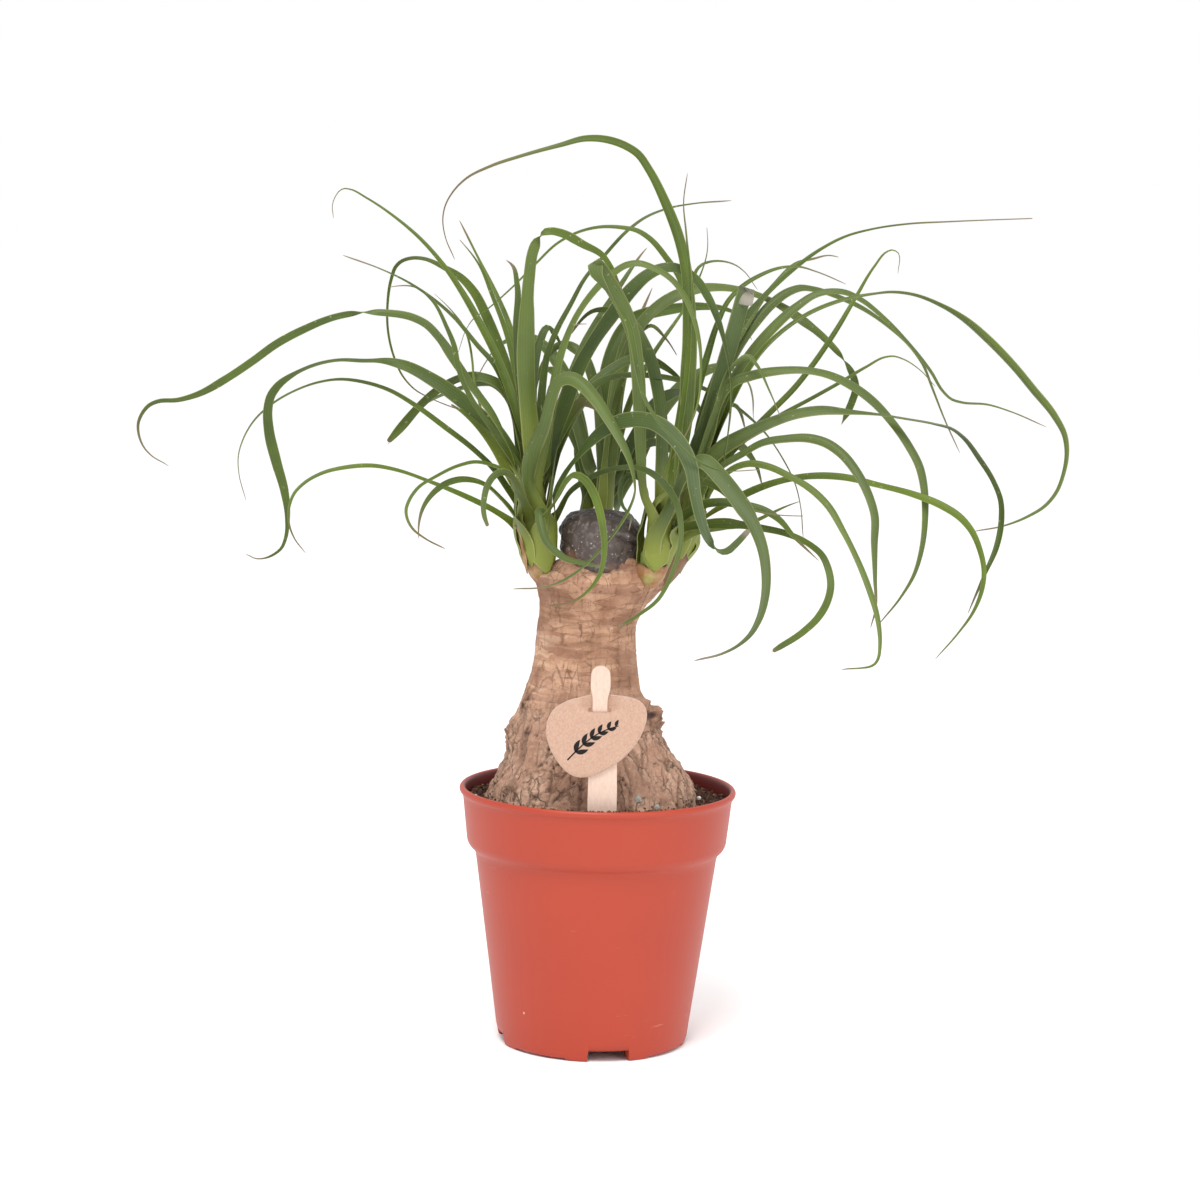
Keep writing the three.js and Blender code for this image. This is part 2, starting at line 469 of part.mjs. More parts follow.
leaf("far_right_shoot", [4.4, 4, 3.6, 3.2, 2.2], [-0.9, -0.9, -0.8], -119, [
  [39, 232], [47, 247], [57, 254.4], [66, 254.7], [78.4, 250], [92.8, 240.4], [104.4, 222.6],
  [113.6, 203], [119, 184.5], [118, 169.5], [104, 166.4]]);
leaf("far_right_shoot", [4.4, 4, 3.4, 2.8, 1.8], [-0.9, -0.8, -0.8], 36, [
  [44, 248], [54, 260], [66, 273], [78.3, 286], [90, 302], [98.3, 316], [105.6, 329.4], [113.4, 342.6],
  [118, 347], [121.6, 345.6], [121.6, 338]]);
leaf("far_right_shoot", [3.4, 2.8, 2.4, 1.6], [-0.9, -0.8, -0.8], 50, [
  [44, 244], [56, 262], [76, 277], [91.6, 285.7], [104.7, 294], [120, 302], [131.6, 297], [138.8, 290]]);

// back shoot, leaves behind the seal and to the back
leaf("back_shoot", [6.4, 6.2, 5.6, 5, 3.4], [-1.4, -0.9, -0.7], 22, [
  [2, 262], [4, 290], [14, 315], [30, 327], [48.6, 329.7], [67, 325], [84, 314.6], [97.6, 302.6],
  [105.3, 289], [103, 280], [100, 273]]);
leaf("back_shoot", [6.8, 6.6, 6, 5], [-1.4, -1, -0.8], 50, [
  [-2, 262], [0, 298], [9, 314.5], [20, 318.4], [32, 320.2], [46, 320.6], [55, 317], [60, 308]]);
leaf("back_shoot", [5.6, 5.2, 4.6, 3.4], [-1.6, -1.4, -1], 76, [
  [1.6, 258], [4.4, 285], [7.6, 300], [13, 318], [17, 328]]);
leaf("back_shoot", [6.8, 6.6, 6, 4], [-1.6, -1.2, -1], 98, [
  [-9, 240], [-10.6, 252], [-12, 266], [-20, 292], [-34, 306], [-48, 302], [-58, 286]]);
leaf("back_shoot", [6.8, 6.6, 6, 4.4], [-1.4, -1.2, -1], 101, [
  [5, 240], [12, 254], [20, 272], [34, 290], [50, 296], [60, 288], [62, 274]]);

// Smooth curve through hand-set points.
function curveThrough(points) {
  return new THREE.CatmullRomCurve3(points, false, "centripetal");
}

function listValue(list, fraction) {
  const place = Math.max(0, Math.min(1, fraction)) * (list.length - 1);
  const lower = Math.min(list.length - 2, Math.floor(place));
  const blend = place - lower;
  return list[lower] * (1 - blend) + list[lower + 1] * blend;
}

function smooth(from, to, value) {
  const t = Math.max(0, Math.min(1, (value - from) / (to - from)));
  return t * t * (3 - 2 * t);
}

// The flattest third of a shoot's leaves stand on its lowest ring and the steepest third at its
// head. Round each ring they are evenly spaced, in the order of the side they lean to.
function placeOnShoots() {
  for (const [name, shoot] of Object.entries(SHOOTS)) {
    const own = LEAVES.filter((entry) => entry.shoot === name);
    for (const entry of own) {
      const early = entry.guide[Math.floor(entry.guide.length * 0.3)];
      const middle = entry.guide[Math.floor(entry.guide.length * 0.45)];
      entry.lean = Math.atan2(entry.reach * 0.9, middle[0] - shoot.head[0]);
      const away = Math.hypot(early[0] - shoot.head[0], entry.reach * 0.3);
      entry.steep = Math.atan2(early[1] - shoot.foot[2], away);
    }
    own.sort((a, b) => a.steep - b.steep);
    own.forEach((entry, order) => {
      entry.ring = Math.floor((order * RING_HEIGHTS.length) / own.length);
    });
    for (let ring = 0; ring < RING_HEIGHTS.length; ring += 1) {
      const members = own.filter((entry) => entry.ring === ring).sort((a, b) => a.lean - b.lean);
      const step = (2 * Math.PI) / members.length;
      const sine = members.reduce((sum, entry, k) => sum + Math.sin(entry.lean - k * step), 0);
      const cosine = members.reduce((sum, entry, k) => sum + Math.cos(entry.lean - k * step), 0);
      const phase = Math.atan2(sine, cosine);
      members.forEach((entry, k) => {
        entry.place = phase + k * step;
      });
    }
  }
}

function leafPath(entry) {
  const shoot = SHOOTS[entry.shoot];
  const { along } = coreAxes(shoot);
  const radius = shoot.size * RING_RADII[entry.ring] + FIT_GAP + LEAF_THICKNESS;
  const base = corePoint(shoot, RING_HEIGHTS[entry.ring], radius, entry.place);
  const outward = base.clone().sub(corePoint(shoot, RING_HEIGHTS[entry.ring], 0, 0)).normalize();
  const second = base.clone();
  second.addScaledVector(along, LEAF_FOOT_HEIGHT).addScaledVector(outward, LEAF_FOOT_LEAN);
  const seen = entry.guide.map(([x, z]) => new THREE.Vector3(x + GUIDE_SHIFT[0], 0, z + GUIDE_SHIFT[1]));
  const lengths = [0];
  const start = new THREE.Vector3(base.x, 0, base.z);
  seen.forEach((point, i) => {
    const before = i === 0 ? start : seen[i - 1];
    lengths.push(lengths[i] + point.distanceTo(before));
  });
  const total = lengths[lengths.length - 1];
  const points = [base, second];
  seen.forEach((point, i) => {
    const fraction = lengths[i + 1] / total;
    const local = entry.guide[i][2] ?? 0;
    const slope = entry.reach - (base.y - shoot.foot[1]);
    const depth = base.y + slope * fraction ** DEPTH_POWER + local;
    const scale = (depth - VIEW_POINT[1]) / -VIEW_POINT[1];
    const x = VIEW_POINT[0] + (point.x - VIEW_POINT[0]) * scale;
    const z = VIEW_POINT[2] + (point.z - VIEW_POINT[2]) * scale;
    if (z > second.z + 4 || i > 0) {
      points.push(new THREE.Vector3(x, depth, z));
    }
  });
  return { curve: curveThrough(points), base, outward, along };
}

// Frames along a leaf: point, tangent and side direction. At the foot the side lies along the
// shoot's skin, and it turns from there by a smoothly growing angle to the blade's free direction.
function leafFrames(entry) {
  const { curve, base, outward, along } = leafPath(entry);
  const far = curve.getPointAt(0.6);
  const flat = new THREE.Vector3(far.x - base.x, far.y - base.y, 0).normalize();
  const level = flat.cross(new THREE.Vector3(0, 0, 1));
  const sight = new THREE.Vector3(0, 1, 0);
  const frames = [];
  let lastAngle = 0;
  for (let k = 0; k <= LEAF_SAMPLES; k += 1) {
    const fraction = k / LEAF_SAMPLES;
    const tangent = curve.getTangentAt(fraction);
    const skinSide = k === 0 ? along.clone().cross(outward) : frames[k - 1].skinSide.clone();
    skinSide.addScaledVector(tangent, -skinSide.dot(tangent)).normalize();
    const turn = listValue(entry.turns, fraction);
    const free = level.clone().addScaledVector(tangent.clone().cross(sight), turn);
    free.addScaledVector(tangent, -free.dot(tangent)).normalize();
    const across = tangent.clone().cross(skinSide);
    let angle = Math.atan2(free.dot(across), free.dot(skinSide));
    angle -= Math.PI * Math.round((angle - lastAngle) / Math.PI);
    lastAngle = angle;
    frames.push({ fraction, point: curve.getPointAt(fraction), tangent, skinSide, angle });
  }
  const open = frames[Math.round(LEAF_SAMPLES * LEAF_OPEN_LENGTH)].angle;
  const halfTurns = Math.PI * Math.round(open / Math.PI);
  for (const frame of frames) {
    const blended = (frame.angle - halfTurns) * smooth(0.02, LEAF_OPEN_LENGTH, frame.fraction);
    frame.side = frame.skinSide.clone().applyAxisAngle(frame.tangent, blended);
  }
  return frames;
}

// Stations lie closer together where the leaf bends or twists.
function stationFrames(frames) {
  const cost = [0];
  for (let k = 1; k < frames.length; k += 1) {
    const length = frames[k].point.distanceTo(frames[k - 1].point) / LEAF_STATION_LENGTH;
    const turn = frames[k].tangent.angleTo(frames[k - 1].tangent) / LEAF_STATION_TURN;
    const twist = frames[k].side.angleTo(frames[k - 1].side) / LEAF_STATION_TURN;
    cost.push(cost[k - 1] + length + Math.max(turn, twist));
  }
  const whole = cost[frames.length - 1];
  const count = Math.ceil(whole);
  const stations = [];
  for (let k = 0; k <= count; k += 1) {
    const wanted = (whole * k) / count;
    stations.push(frames[cost.findIndex((value) => value >= wanted - 1e-9)]);
  }
  return stations;
}

// A leaf is a thin blade with a flat diamond section: two edges, an upper and a lower ridge.
function leafGeometry(entry) {
  const frames = leafFrames(entry);
  const rings = stationFrames(frames).map(({ fraction, point, tangent, side }) => {
    const full = listValue([...entry.widths, LEAF_TIP_WIDTH], (fraction - 0.1) / 0.9);
    const width = LEAF_BASE_WIDTH + (full - LEAF_BASE_WIDTH) * smooth(0, LEAF_OPEN_LENGTH, fraction);
    const normal = tangent.clone().cross(side);
    const halfThickness = Math.min(LEAF_THICKNESS, width * 0.5) / 2;
    const left = point.clone().addScaledVector(side, width / 2);
    const upper = point.clone().addScaledVector(normal, halfThickness);
    const right = point.clone().addScaledVector(side, -width / 2);
    const lower = point.clone().addScaledVector(normal, -halfThickness);
    return [left.toArray(), upper.toArray(), right.toArray(), lower.toArray()];
  });
  const last = frames[frames.length - 1];
  const tip = last.point.clone().addScaledVector(last.tangent, LEAF_TIP_WIDTH);
  const foot = frames[0].point.clone().addScaledVector(frames[0].tangent, -LEAF_TIP_WIDTH);
  return skin(rings, foot.toArray(), tip.toArray());
}

placeOnShoots();
const leafCounts = {};
for (const entry of LEAVES) {
  leafCounts[entry.shoot] = (leafCounts[entry.shoot] ?? 0) + 1;
  const number = String(leafCounts[entry.shoot]).padStart(2, "0");
  addNode(`${entry.shoot}_leaf_${number}`, leafGeometry(entry), "leaf_green");
}

// ---- label: a shaped wooden stake and a board tag threaded on its neck ----
const STAKE_OUTLINE = [
  [-4.1, STAKE_FOOT_Z], [8.1, STAKE_FOOT_Z], [8, 122], [7, 140], [3.3, 153], [3.3, 159], [4.2, 162],
  [4.1, 168.4], [3, 171], [1.2, 172.2], [-0.8, 172.2], [-2.8, 171], [-3.9, 168.4], [-3.9, 162],
  [-3.1, 159], [-3.1, 153], [-3.9, 140], [-4.2, 122],
];
const TAG_OUTLINE = [
  [-22.1, 143.6], [-21, 138.9], [-17, 131.5], [-13.1, 127.3], [-9.3, 125.4], [-4.7, 125.4],
  [1.9, 128.1], [9.3, 132.9], [14.6, 138.6], [18.6, 146.3], [19.7, 152.7], [18.9, 155.7],
  [17.1, 157.7], [12.4, 159.6], [4.9, 160.1], [-3.4, 159.8], [-13.8, 157.3], [-19.1, 153.8],
  [-21.6, 149.1],
];
const TAG_SLIT = [[-8.5, 152.6], [8.4, 153], [8.4, 154.8], [-8.5, 154.4]];

// A flat board cut to an outline of (x, z), standing upright and centred on a depth.
function board(outline, slit, thickness, depth) {
  const shape = new THREE.Shape(outline.map(([x, z]) => new THREE.Vector2(x, z)));
  if (slit) {
    shape.holes.push(new THREE.Path(slit.map(([x, z]) => new THREE.Vector2(x, z))));
  }
  const geometry = new THREE.ExtrudeGeometry(shape, { depth: thickness, bevelEnabled: false });
  geometry.translate(0, 0, -thickness / 2);
  geometry.rotateX(Math.PI / 2);
  geometry.translate(0, depth, 0);
  return fromSolid(toSolid(geometry));
}

addNode("label_stake", board(STAKE_OUTLINE, null, STAKE_THICKNESS, STAKE_Y), "birch");
addNode("label_tag", board(TAG_OUTLINE, TAG_SLIT, TAG_THICKNESS, STAKE_Y - TAG_FORWARD), "kraft_board");

export default object;
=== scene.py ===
# %% [markdown]
# # A potted ponytail palm
# The construction model gives every piece its place and size. This script gives each piece its real
# surface: bark with corky plates, channelled strap leaves, a moulded nursery pot, loose peat, a
# wooden stake and a board tag. It begins by loading the construction model as a fixed frame.

# %% Load the frame
import math

import bpy
import numpy as np
from mathutils import Matrix, Vector


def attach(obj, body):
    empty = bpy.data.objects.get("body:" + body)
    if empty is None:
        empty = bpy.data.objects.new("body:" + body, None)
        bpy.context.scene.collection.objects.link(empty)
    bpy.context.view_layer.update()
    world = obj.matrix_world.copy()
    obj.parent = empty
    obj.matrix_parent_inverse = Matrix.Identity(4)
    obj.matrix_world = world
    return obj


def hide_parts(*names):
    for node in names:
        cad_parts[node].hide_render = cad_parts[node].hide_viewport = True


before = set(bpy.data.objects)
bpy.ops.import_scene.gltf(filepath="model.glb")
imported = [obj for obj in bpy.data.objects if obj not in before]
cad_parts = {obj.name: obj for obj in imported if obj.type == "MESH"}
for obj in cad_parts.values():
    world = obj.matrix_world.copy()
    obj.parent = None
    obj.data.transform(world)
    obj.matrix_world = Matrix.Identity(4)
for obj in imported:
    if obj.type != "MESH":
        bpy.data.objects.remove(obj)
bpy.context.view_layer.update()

# %% [markdown]
# ## Camera
# The camera stands where the photographer stood. It comes first, so that every later step can be
# judged in the same view. It is turned by two rotations: 7.3 degrees down, and a slight roll. The
# lens follows from the distance and the size of the pot in the frame.

# %% Camera
MM = 0.001
CAMERA_PLACE = np.array([-1.0, -1370.0, 369.0])
CAMERA_DOWN = 7.3
CAMERA_ROLL = 1.39
LENS = 96.1
SENSOR = 36.0

scene = bpy.context.scene
camera_data = bpy.data.cameras.new("camera")
camera_data.lens = LENS
camera_data.sensor_width = SENSOR
camera_data.sensor_height = SENSOR
camera = bpy.data.objects.new("camera", camera_data)
scene.collection.objects.link(camera)
pitch = Matrix.Rotation(math.radians(90 - CAMERA_DOWN), 4, "X")
roll = Matrix.Rotation(math.radians(CAMERA_ROLL), 4, "Z")
camera.matrix_world = Matrix.Translation(CAMERA_PLACE * MM) @ pitch @ roll
scene.camera = camera
print("camera", LENS, "mm at", CAMERA_PLACE, "mm")

# %% [markdown]
# ## From arrays to pieces
# Every piece here is a surface on a grid of rows and columns. Blender can build such a surface with
# curves or modifiers, but a numpy grid keeps the formula in sight and gives clean closed meshes.
# `piece` takes the points in millimetres, turns the faces outwards, gives the piece its material,
# hangs it on the root body, and hides the construction parts that it replaces.

# %% Grids, caps and pieces
def grid_faces(rows, columns, wrap_rows=False):
    """Four-sided faces between neighbouring points of a grid whose columns close on themselves."""
    row = np.arange(rows if wrap_rows else rows - 1)[:, None]
    column = np.arange(columns)[None, :]
    next_row = (row + 1) % rows
    next_column = (column + 1) % columns
    corners = [row * columns + column, row * columns + next_column,
               next_row * columns + next_column, next_row * columns + column]
    return np.stack(np.broadcast_arrays(*corners), -1).reshape(-1, 4)


def cap_faces(rows, columns):
    """Triangles from two extra points, one before the first row and one after the last row."""
    start = rows * columns
    column = np.arange(columns)
    after = (column + 1) % columns
    last = (rows - 1) * columns
    first = np.stack([np.full(columns, start), after, column], -1)
    second = np.stack([np.full(columns, start + 1), last + column, last + after], -1)
    return np.concatenate([first, second])


def volume(points, faces):
    """Signed volume of a closed skin: the sum of the tetrahedra from the origin to each face."""
    a, b, c = points[faces[:, 0]], points[faces[:, 1]], points[faces[:, 2]]
    total = np.einsum("ij,ij->i", a, np.cross(b, c)).sum()
    if faces.shape[1] == 4:
        d = points[faces[:, 3]]
        total += np.einsum("ij,ij->i", a, np.cross(c, d)).sum()
    return total / 6


def piece(name, points, faces, material, attributes=None, replaces=(), smooth=True):
    """A mesh piece from points in millimetres and a list of face arrays, with its faces outwards."""
    points = np.asarray(points, float).reshape(-1, 3)
    if sum(volume(points, part) for part in faces) < 0:
        faces = [part[:, ::-1] for part in faces]
    mesh = bpy.data.meshes.new(name)
    mesh.from_pydata((points * MM).tolist(), [], [f for part in faces for f in part.tolist()])
    mesh.polygons.foreach_set("use_smooth", np.full(len(mesh.polygons), smooth))
    for key, values in (attributes or {}).items():
        layer = mesh.attributes.new(key, "FLOAT", "POINT")
        layer.data.foreach_set("value", np.asarray(values, np.float32).ravel())
    mesh.materials.append(material)
    mesh.update()
    made = bpy.data.objects.new(name, mesh)
    scene.collection.objects.link(made)
    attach(made, "root")
    if replaces:
        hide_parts(*replaces)
    return made


def capped(grid, start, end, **values):
    """Points, faces and attributes of a tube of rows closed by a point at each end."""
    rows, columns = grid.shape[:2]
    points = np.concatenate([grid.reshape(-1, 3), [start, end]])
    faces = [grid_faces(rows, columns), cap_faces(rows, columns)]
    attributes = {}
    for key, value in values.items():
        full = np.broadcast_to(value, (rows, columns)).ravel()
        attributes[key] = np.concatenate([full, [full[0], full[-1]]])
    return points, faces, attributes


# %% [markdown]
# ## Smooth curves
# A leaf runs through a few stations of the construction model, so a smooth curve has to pass
# through them. A cubic curve with a slope at each station does that without waves in between.

# %% Curves and places
def spline(knots, values, at):
    """Cubic curve through the values. Each slope is the mean of the two chords beside the knot, in
    which the shorter chord counts more."""
    step = np.diff(knots)[:, None]
    chord = np.diff(values, axis=0) / step
    slope = np.empty_like(values)
    slope[1:-1] = (step[1:] * chord[:-1] + step[:-1] * chord[1:]) / (step[:-1] + step[1:])
    slope[0] = 1.5 * chord[0] - 0.5 * slope[1]
    slope[-1] = 1.5 * chord[-1] - 0.5 * slope[-2]
    index = np.clip(np.searchsorted(knots, at) - 1, 0, len(step) - 1)
    t = ((at - knots[index]) / step[index, 0])[:, None]
    width = step[index]
    return ((2 * t**3 - 3 * t**2 + 1) * values[index] + (t**3 - 2 * t**2 + t) * width * slope[index]
            + (3 * t**2 - 2 * t**3) * values[index + 1] + (t**3 - t**2) * width * slope[index + 1])


def lengths_along(line):
    """Distance along a line of points, from 0."""
    return np.concatenate([[0], np.cumsum(np.linalg.norm(np.diff(line, axis=0), axis=1))])


def unit(vectors):
    """Vectors of length 1."""
    return vectors / np.maximum(np.linalg.norm(vectors, axis=-1, keepdims=True), 1e-9)


def xyz(x, y, z):
    """Places from coordinates, any of which may be one number for all."""
    return np.stack(np.broadcast_arrays(x, y, z), -1)


def directions(count):
    """Angles in even steps round a circle."""
    return np.arange(count) * 2 * np.pi / count


def polar(radius, angle, height=0.0):
    """Places at a distance from the z axis, an angle round it and a height."""
    return xyz(radius * np.cos(angle), radius * np.sin(angle), height)


def oblong(angle, power):
    """Places (x, y) on a superellipse 2 wide and high, squarer the smaller the power is."""
    circle = polar(1.0, angle)[:, :2]
    return np.sign(circle) * np.abs(circle) ** power


def smooth(start, end, value):
    """0 before start, 1 after end, and an even S between them."""
    t = np.clip((value - start) / (end - start), 0, 1)
    return t * t * (3 - 2 * t)


# %% [markdown]
# ## Random fields
# Blender has noise textures, but a relief that is real geometry needs its noise in numpy. Both
# fields below start from one random number for each cell of a grid. Blended between the corners of
# a cell they give soft lumps; as points scattered one to a cell they give plates and the cracks
# between them.

# %% Noise and cells
def scatter(cell, seed):
    """One random number from 0 to 1 for each whole-number cell address."""
    key = (cell * np.array([73856093, 19349663, 83492791])).sum(-1) + seed * 2654435761
    key = ((key ^ (key >> 15)) * 2246822519) & 0xFFFFFFFF
    key = ((key ^ (key >> 13)) * 3266489917) & 0xFFFFFFFF
    return ((key ^ (key >> 16)) & 0xFFFFFF) / 0xFFFFFF


def noise(points, size, seed, octaves=1):
    """Random field from about -1 to 1. Numbers on a grid of cells of the given size, blended
    smoothly; each further octave has half the size and half the height."""
    total = 0.0
    for octave in range(octaves):
        place = points / (np.asarray(size) / 2**octave)
        corner = np.floor(place).astype(np.int64)
        blend = place - corner
        blend = blend * blend * (3 - 2 * blend)
        field = 0.0
        for offset in np.ndindex(2, 2, 2):
            offset = np.array(offset)
            weight = np.prod(np.where(offset, blend, 1 - blend), axis=-1)
            field = field + weight * scatter(corner + offset, seed + octave)
        total = total + (2 * field - 1) / 2**octave
    return total


def cells(points, size, seed):
    """Distance to the nearest of one random point per cell, the extra distance to the second
    nearest (0 on the border between two cells), a random number for the nearest, and how far above
    it the place lies."""
    place = points / np.asarray(size)
    home = np.floor(place).astype(np.int64)
    nearest = np.full(place.shape[:-1], 9.0)
    second = np.full(place.shape[:-1], 9.0)
    label = np.zeros(place.shape[:-1])
    above = np.zeros(place.shape[:-1])
    for offset in np.ndindex(3, 3, 3):
        cell = home + np.array(offset) - 1
        centre = cell + np.stack([scatter(cell, seed + k) for k in range(3)], -1)
        distance = np.linalg.norm(place - centre, axis=-1)
        label = np.where(distance < nearest, scatter(cell, seed + 3), label)
        above = np.where(distance < nearest, place[..., 2] - centre[..., 2], above)
        second = np.minimum(second, np.maximum(nearest, distance))
        nearest = np.minimum(nearest, distance)
    return nearest, second - nearest, label, above


def normals(grid):
    """Unit normals of a grid whose columns close on themselves."""
    along = np.gradient(grid, axis=0)
    around = (np.roll(grid, -1, axis=1) - np.roll(grid, 1, axis=1)) / 2
    return unit(np.cross(around, along))


# %% [markdown]
# ## Reading rings from the construction model
# The trunk, the wound seal, the shoots and the leaves are all skins of rings between two end points.
# Counting steps along edges from one end point gives each ring in turn, so the fine surfaces can
# follow exactly the same rows.

# %% Rings of a node
def node_skin(name):
    """Points of a node's mesh in millimetres, with doubles merged, and its edges."""
    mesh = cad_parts[name].data
    raw = np.empty(len(mesh.vertices) * 3)
    mesh.vertices.foreach_get("co", raw)
    mesh.calc_loop_triangles()
    triangles = np.empty(len(mesh.loop_triangles) * 3, int)
    mesh.loop_triangles.foreach_get("vertices", triangles)
    keys = np.round(raw.reshape(-1, 3) / MM * 2000).astype(np.int64)
    unique, index = np.unique(keys, axis=0, return_inverse=True)
    triangles = index.ravel()[triangles].reshape(-1, 3)
    edges = np.concatenate([triangles[:, [0, 1]], triangles[:, [1, 2]], triangles[:, [2, 0]]])
    return unique / 2000, np.unique(np.sort(edges, axis=1), axis=0)


def steps_from(seed, count, edges):
    """For each of count points, how many edges it lies from the seed."""
    level = np.full(count, -1)
    level[seed] = 0
    step = 0
    while (level < 0).any():
        touching = edges[(level[edges] == step).any(axis=1)].ravel()
        level[touching[level[touching] < 0]] = step + 1
        step += 1
    return level


def node_rings(name, count, near=None):
    """Both end points of a node and its rings between them, as an array (rings, count, 3). An end
    point has as many edges as a ring has points, and counting steps from it gives even rings; of the
    places where that holds, the end points give the tightest rings. The first end point is the one
    nearest to a place, or the lowest."""
    points, edges = node_skin(name)
    best = np.inf
    for seed in np.flatnonzero(np.bincount(edges.ravel()) == count):
        level = steps_from(seed, len(points), edges)
        sizes = np.bincount(level)
        if sizes[-1] > 1 or (sizes[1:-1] != count).any():
            continue
        rings = np.stack([points[level == k] for k in range(1, level.max())])
        spread = np.ptp(rings, axis=1).sum()
        if spread < best - 1e-6:
            best, found = spread, (points[seed], points[level.argmax()], rings)
    first, last, rings = found
    rank = [end[2] if near is None else np.linalg.norm(end - near) for end in (first, last)]
    return (first, last, rings) if rank[0] < rank[1] else (last, first, rings[::-1])


def by_angle(rings, depth_ratio=1.0):
    """Puts the points of each ring in order of their angle round the ring's middle."""
    count = rings.shape[1]
    middle = (rings.max(axis=1) + rings.min(axis=1)) / 2
    offset = rings - middle[:, None]
    turn = np.arctan2(offset[..., 1] / depth_ratio, offset[..., 0]) / (2 * np.pi) * count
    place = np.round(turn).astype(int) % count
    ordered = np.empty_like(rings)
    np.put_along_axis(ordered, np.repeat(place[..., None], 3, axis=2), rings, axis=1)
    return ordered


def finer_columns(rings, columns):
    """More points round each ring, on the smooth wave through the ones that are there."""
    wave = np.fft.rfft(rings, axis=1)
    return np.fft.irfft(wave, n=columns, axis=1) * columns / rings.shape[1]


def finer_rows(rings, heights):
    """Rings at other heights, on smooth curves through the given rings."""
    knots = rings[..., 2].mean(axis=1)
    flat = spline(knots, rings.reshape(len(rings), -1), heights)
    return flat.reshape(len(heights), -1, 3)


# %% [markdown]
# ## One way to write materials
# A material is a small network of nodes. `add` adds one node with its settings and joins its inputs,
# and `shaded` lays one shade after another over a base colour. Colours are written as sRGB hex
# values, as a colour picker shows them, and `linear` turns them into the linear numbers that the
# renderer works with. The size of a pattern is measured in millimetres, and `every` turns it into
# the scale of a texture, which is how often the pattern comes in a metre.

# %% Colours, sizes and nodes
def linear(colour):
    """sRGB hex to linear RGBA."""
    parts = [int(colour[k:k + 2], 16) / 255 for k in (1, 3, 5)]
    return [p / 12.92 if p <= 0.04045 else ((p + 0.055) / 1.055) ** 2.4 for p in parts] + [1.0]


def every(*sizes):
    """Texture scale of a pattern that comes once in so many millimetres: one size, or one per axis."""
    scales = [1 / (size * MM) for size in sizes]
    return scales[0] if len(scales) == 1 else scales


def add(tree, kind, inputs=None, **settings):
    """Adds one node. Inputs map a socket to a value, to an output, or to a node's first output."""
    made = tree.nodes.new("ShaderNode" + kind)
    for key, value in settings.items():
        setattr(made, key, value)
    for key, value in (inputs or {}).items():
        if isinstance(value, bpy.types.Node):
            value = value.outputs[0]
        if isinstance(value, bpy.types.NodeSocket):
            tree.links.new(value, made.inputs[key])
        elif isinstance(value, str):
            made.inputs[key].default_value = linear(value)
        else:
            made.inputs[key].default_value = value
    return made


def shaded(tree, colour, *layers):
    """Lays shades over a colour. A layer has a pattern, the values of it where the shade begins and
    where it is full, the strength of the full shade, the shade itself, and masks that limit it."""
    for pattern, begins, full, strength, shade, *limits in layers:
        mask = add(tree, "MapRange", {"Value": pattern, "From Min": begins, "From Max": full,
                                      "To Max": strength})
        for limit in limits:
            mask = add(tree, "Math", {0: mask, 1: limit}, operation="MULTIPLY")
        colour = add(tree, "MixRGB", {"Fac": mask, "Color1": colour, "Color2": shade})
    return colour


def new_material(name):
    """An empty material and its node tree."""
    material = bpy.data.materials.new(name)
    material.use_nodes = True
    material.node_tree.nodes.clear()
    return material, material.node_tree


def surface_inputs(tree, *attributes):
    """The place on the piece in object coordinates, and the named attributes of its points."""
    place = add(tree, "TexCoord").outputs["Object"]
    return place, {key: add(tree, "Attribute", attribute_name=key).outputs["Fac"] for key in attributes}


def finished(material, **sockets):
    """The material with a Principled shader of the given sockets, joined to its output."""
    tree = material.node_tree
    shader = add(tree, "BsdfPrincipled", {key.replace("_", " "): value for key, value in sockets.items()})
    add(tree, "OutputMaterial", {"Surface": shader})
    print(material.name, "has", len(tree.nodes), "nodes")
    return material


# %% [markdown]
# ## Nursery pot: moulded polypropylene
# The pot is injection-moulded polypropylene in terracotta red: a satin skin with a wide soft
# highlight, which turns pinkish where the wall is seen edge on. Handling leaves pale scuffs and a
# few grains. The index of refraction of polypropylene is 1.49.

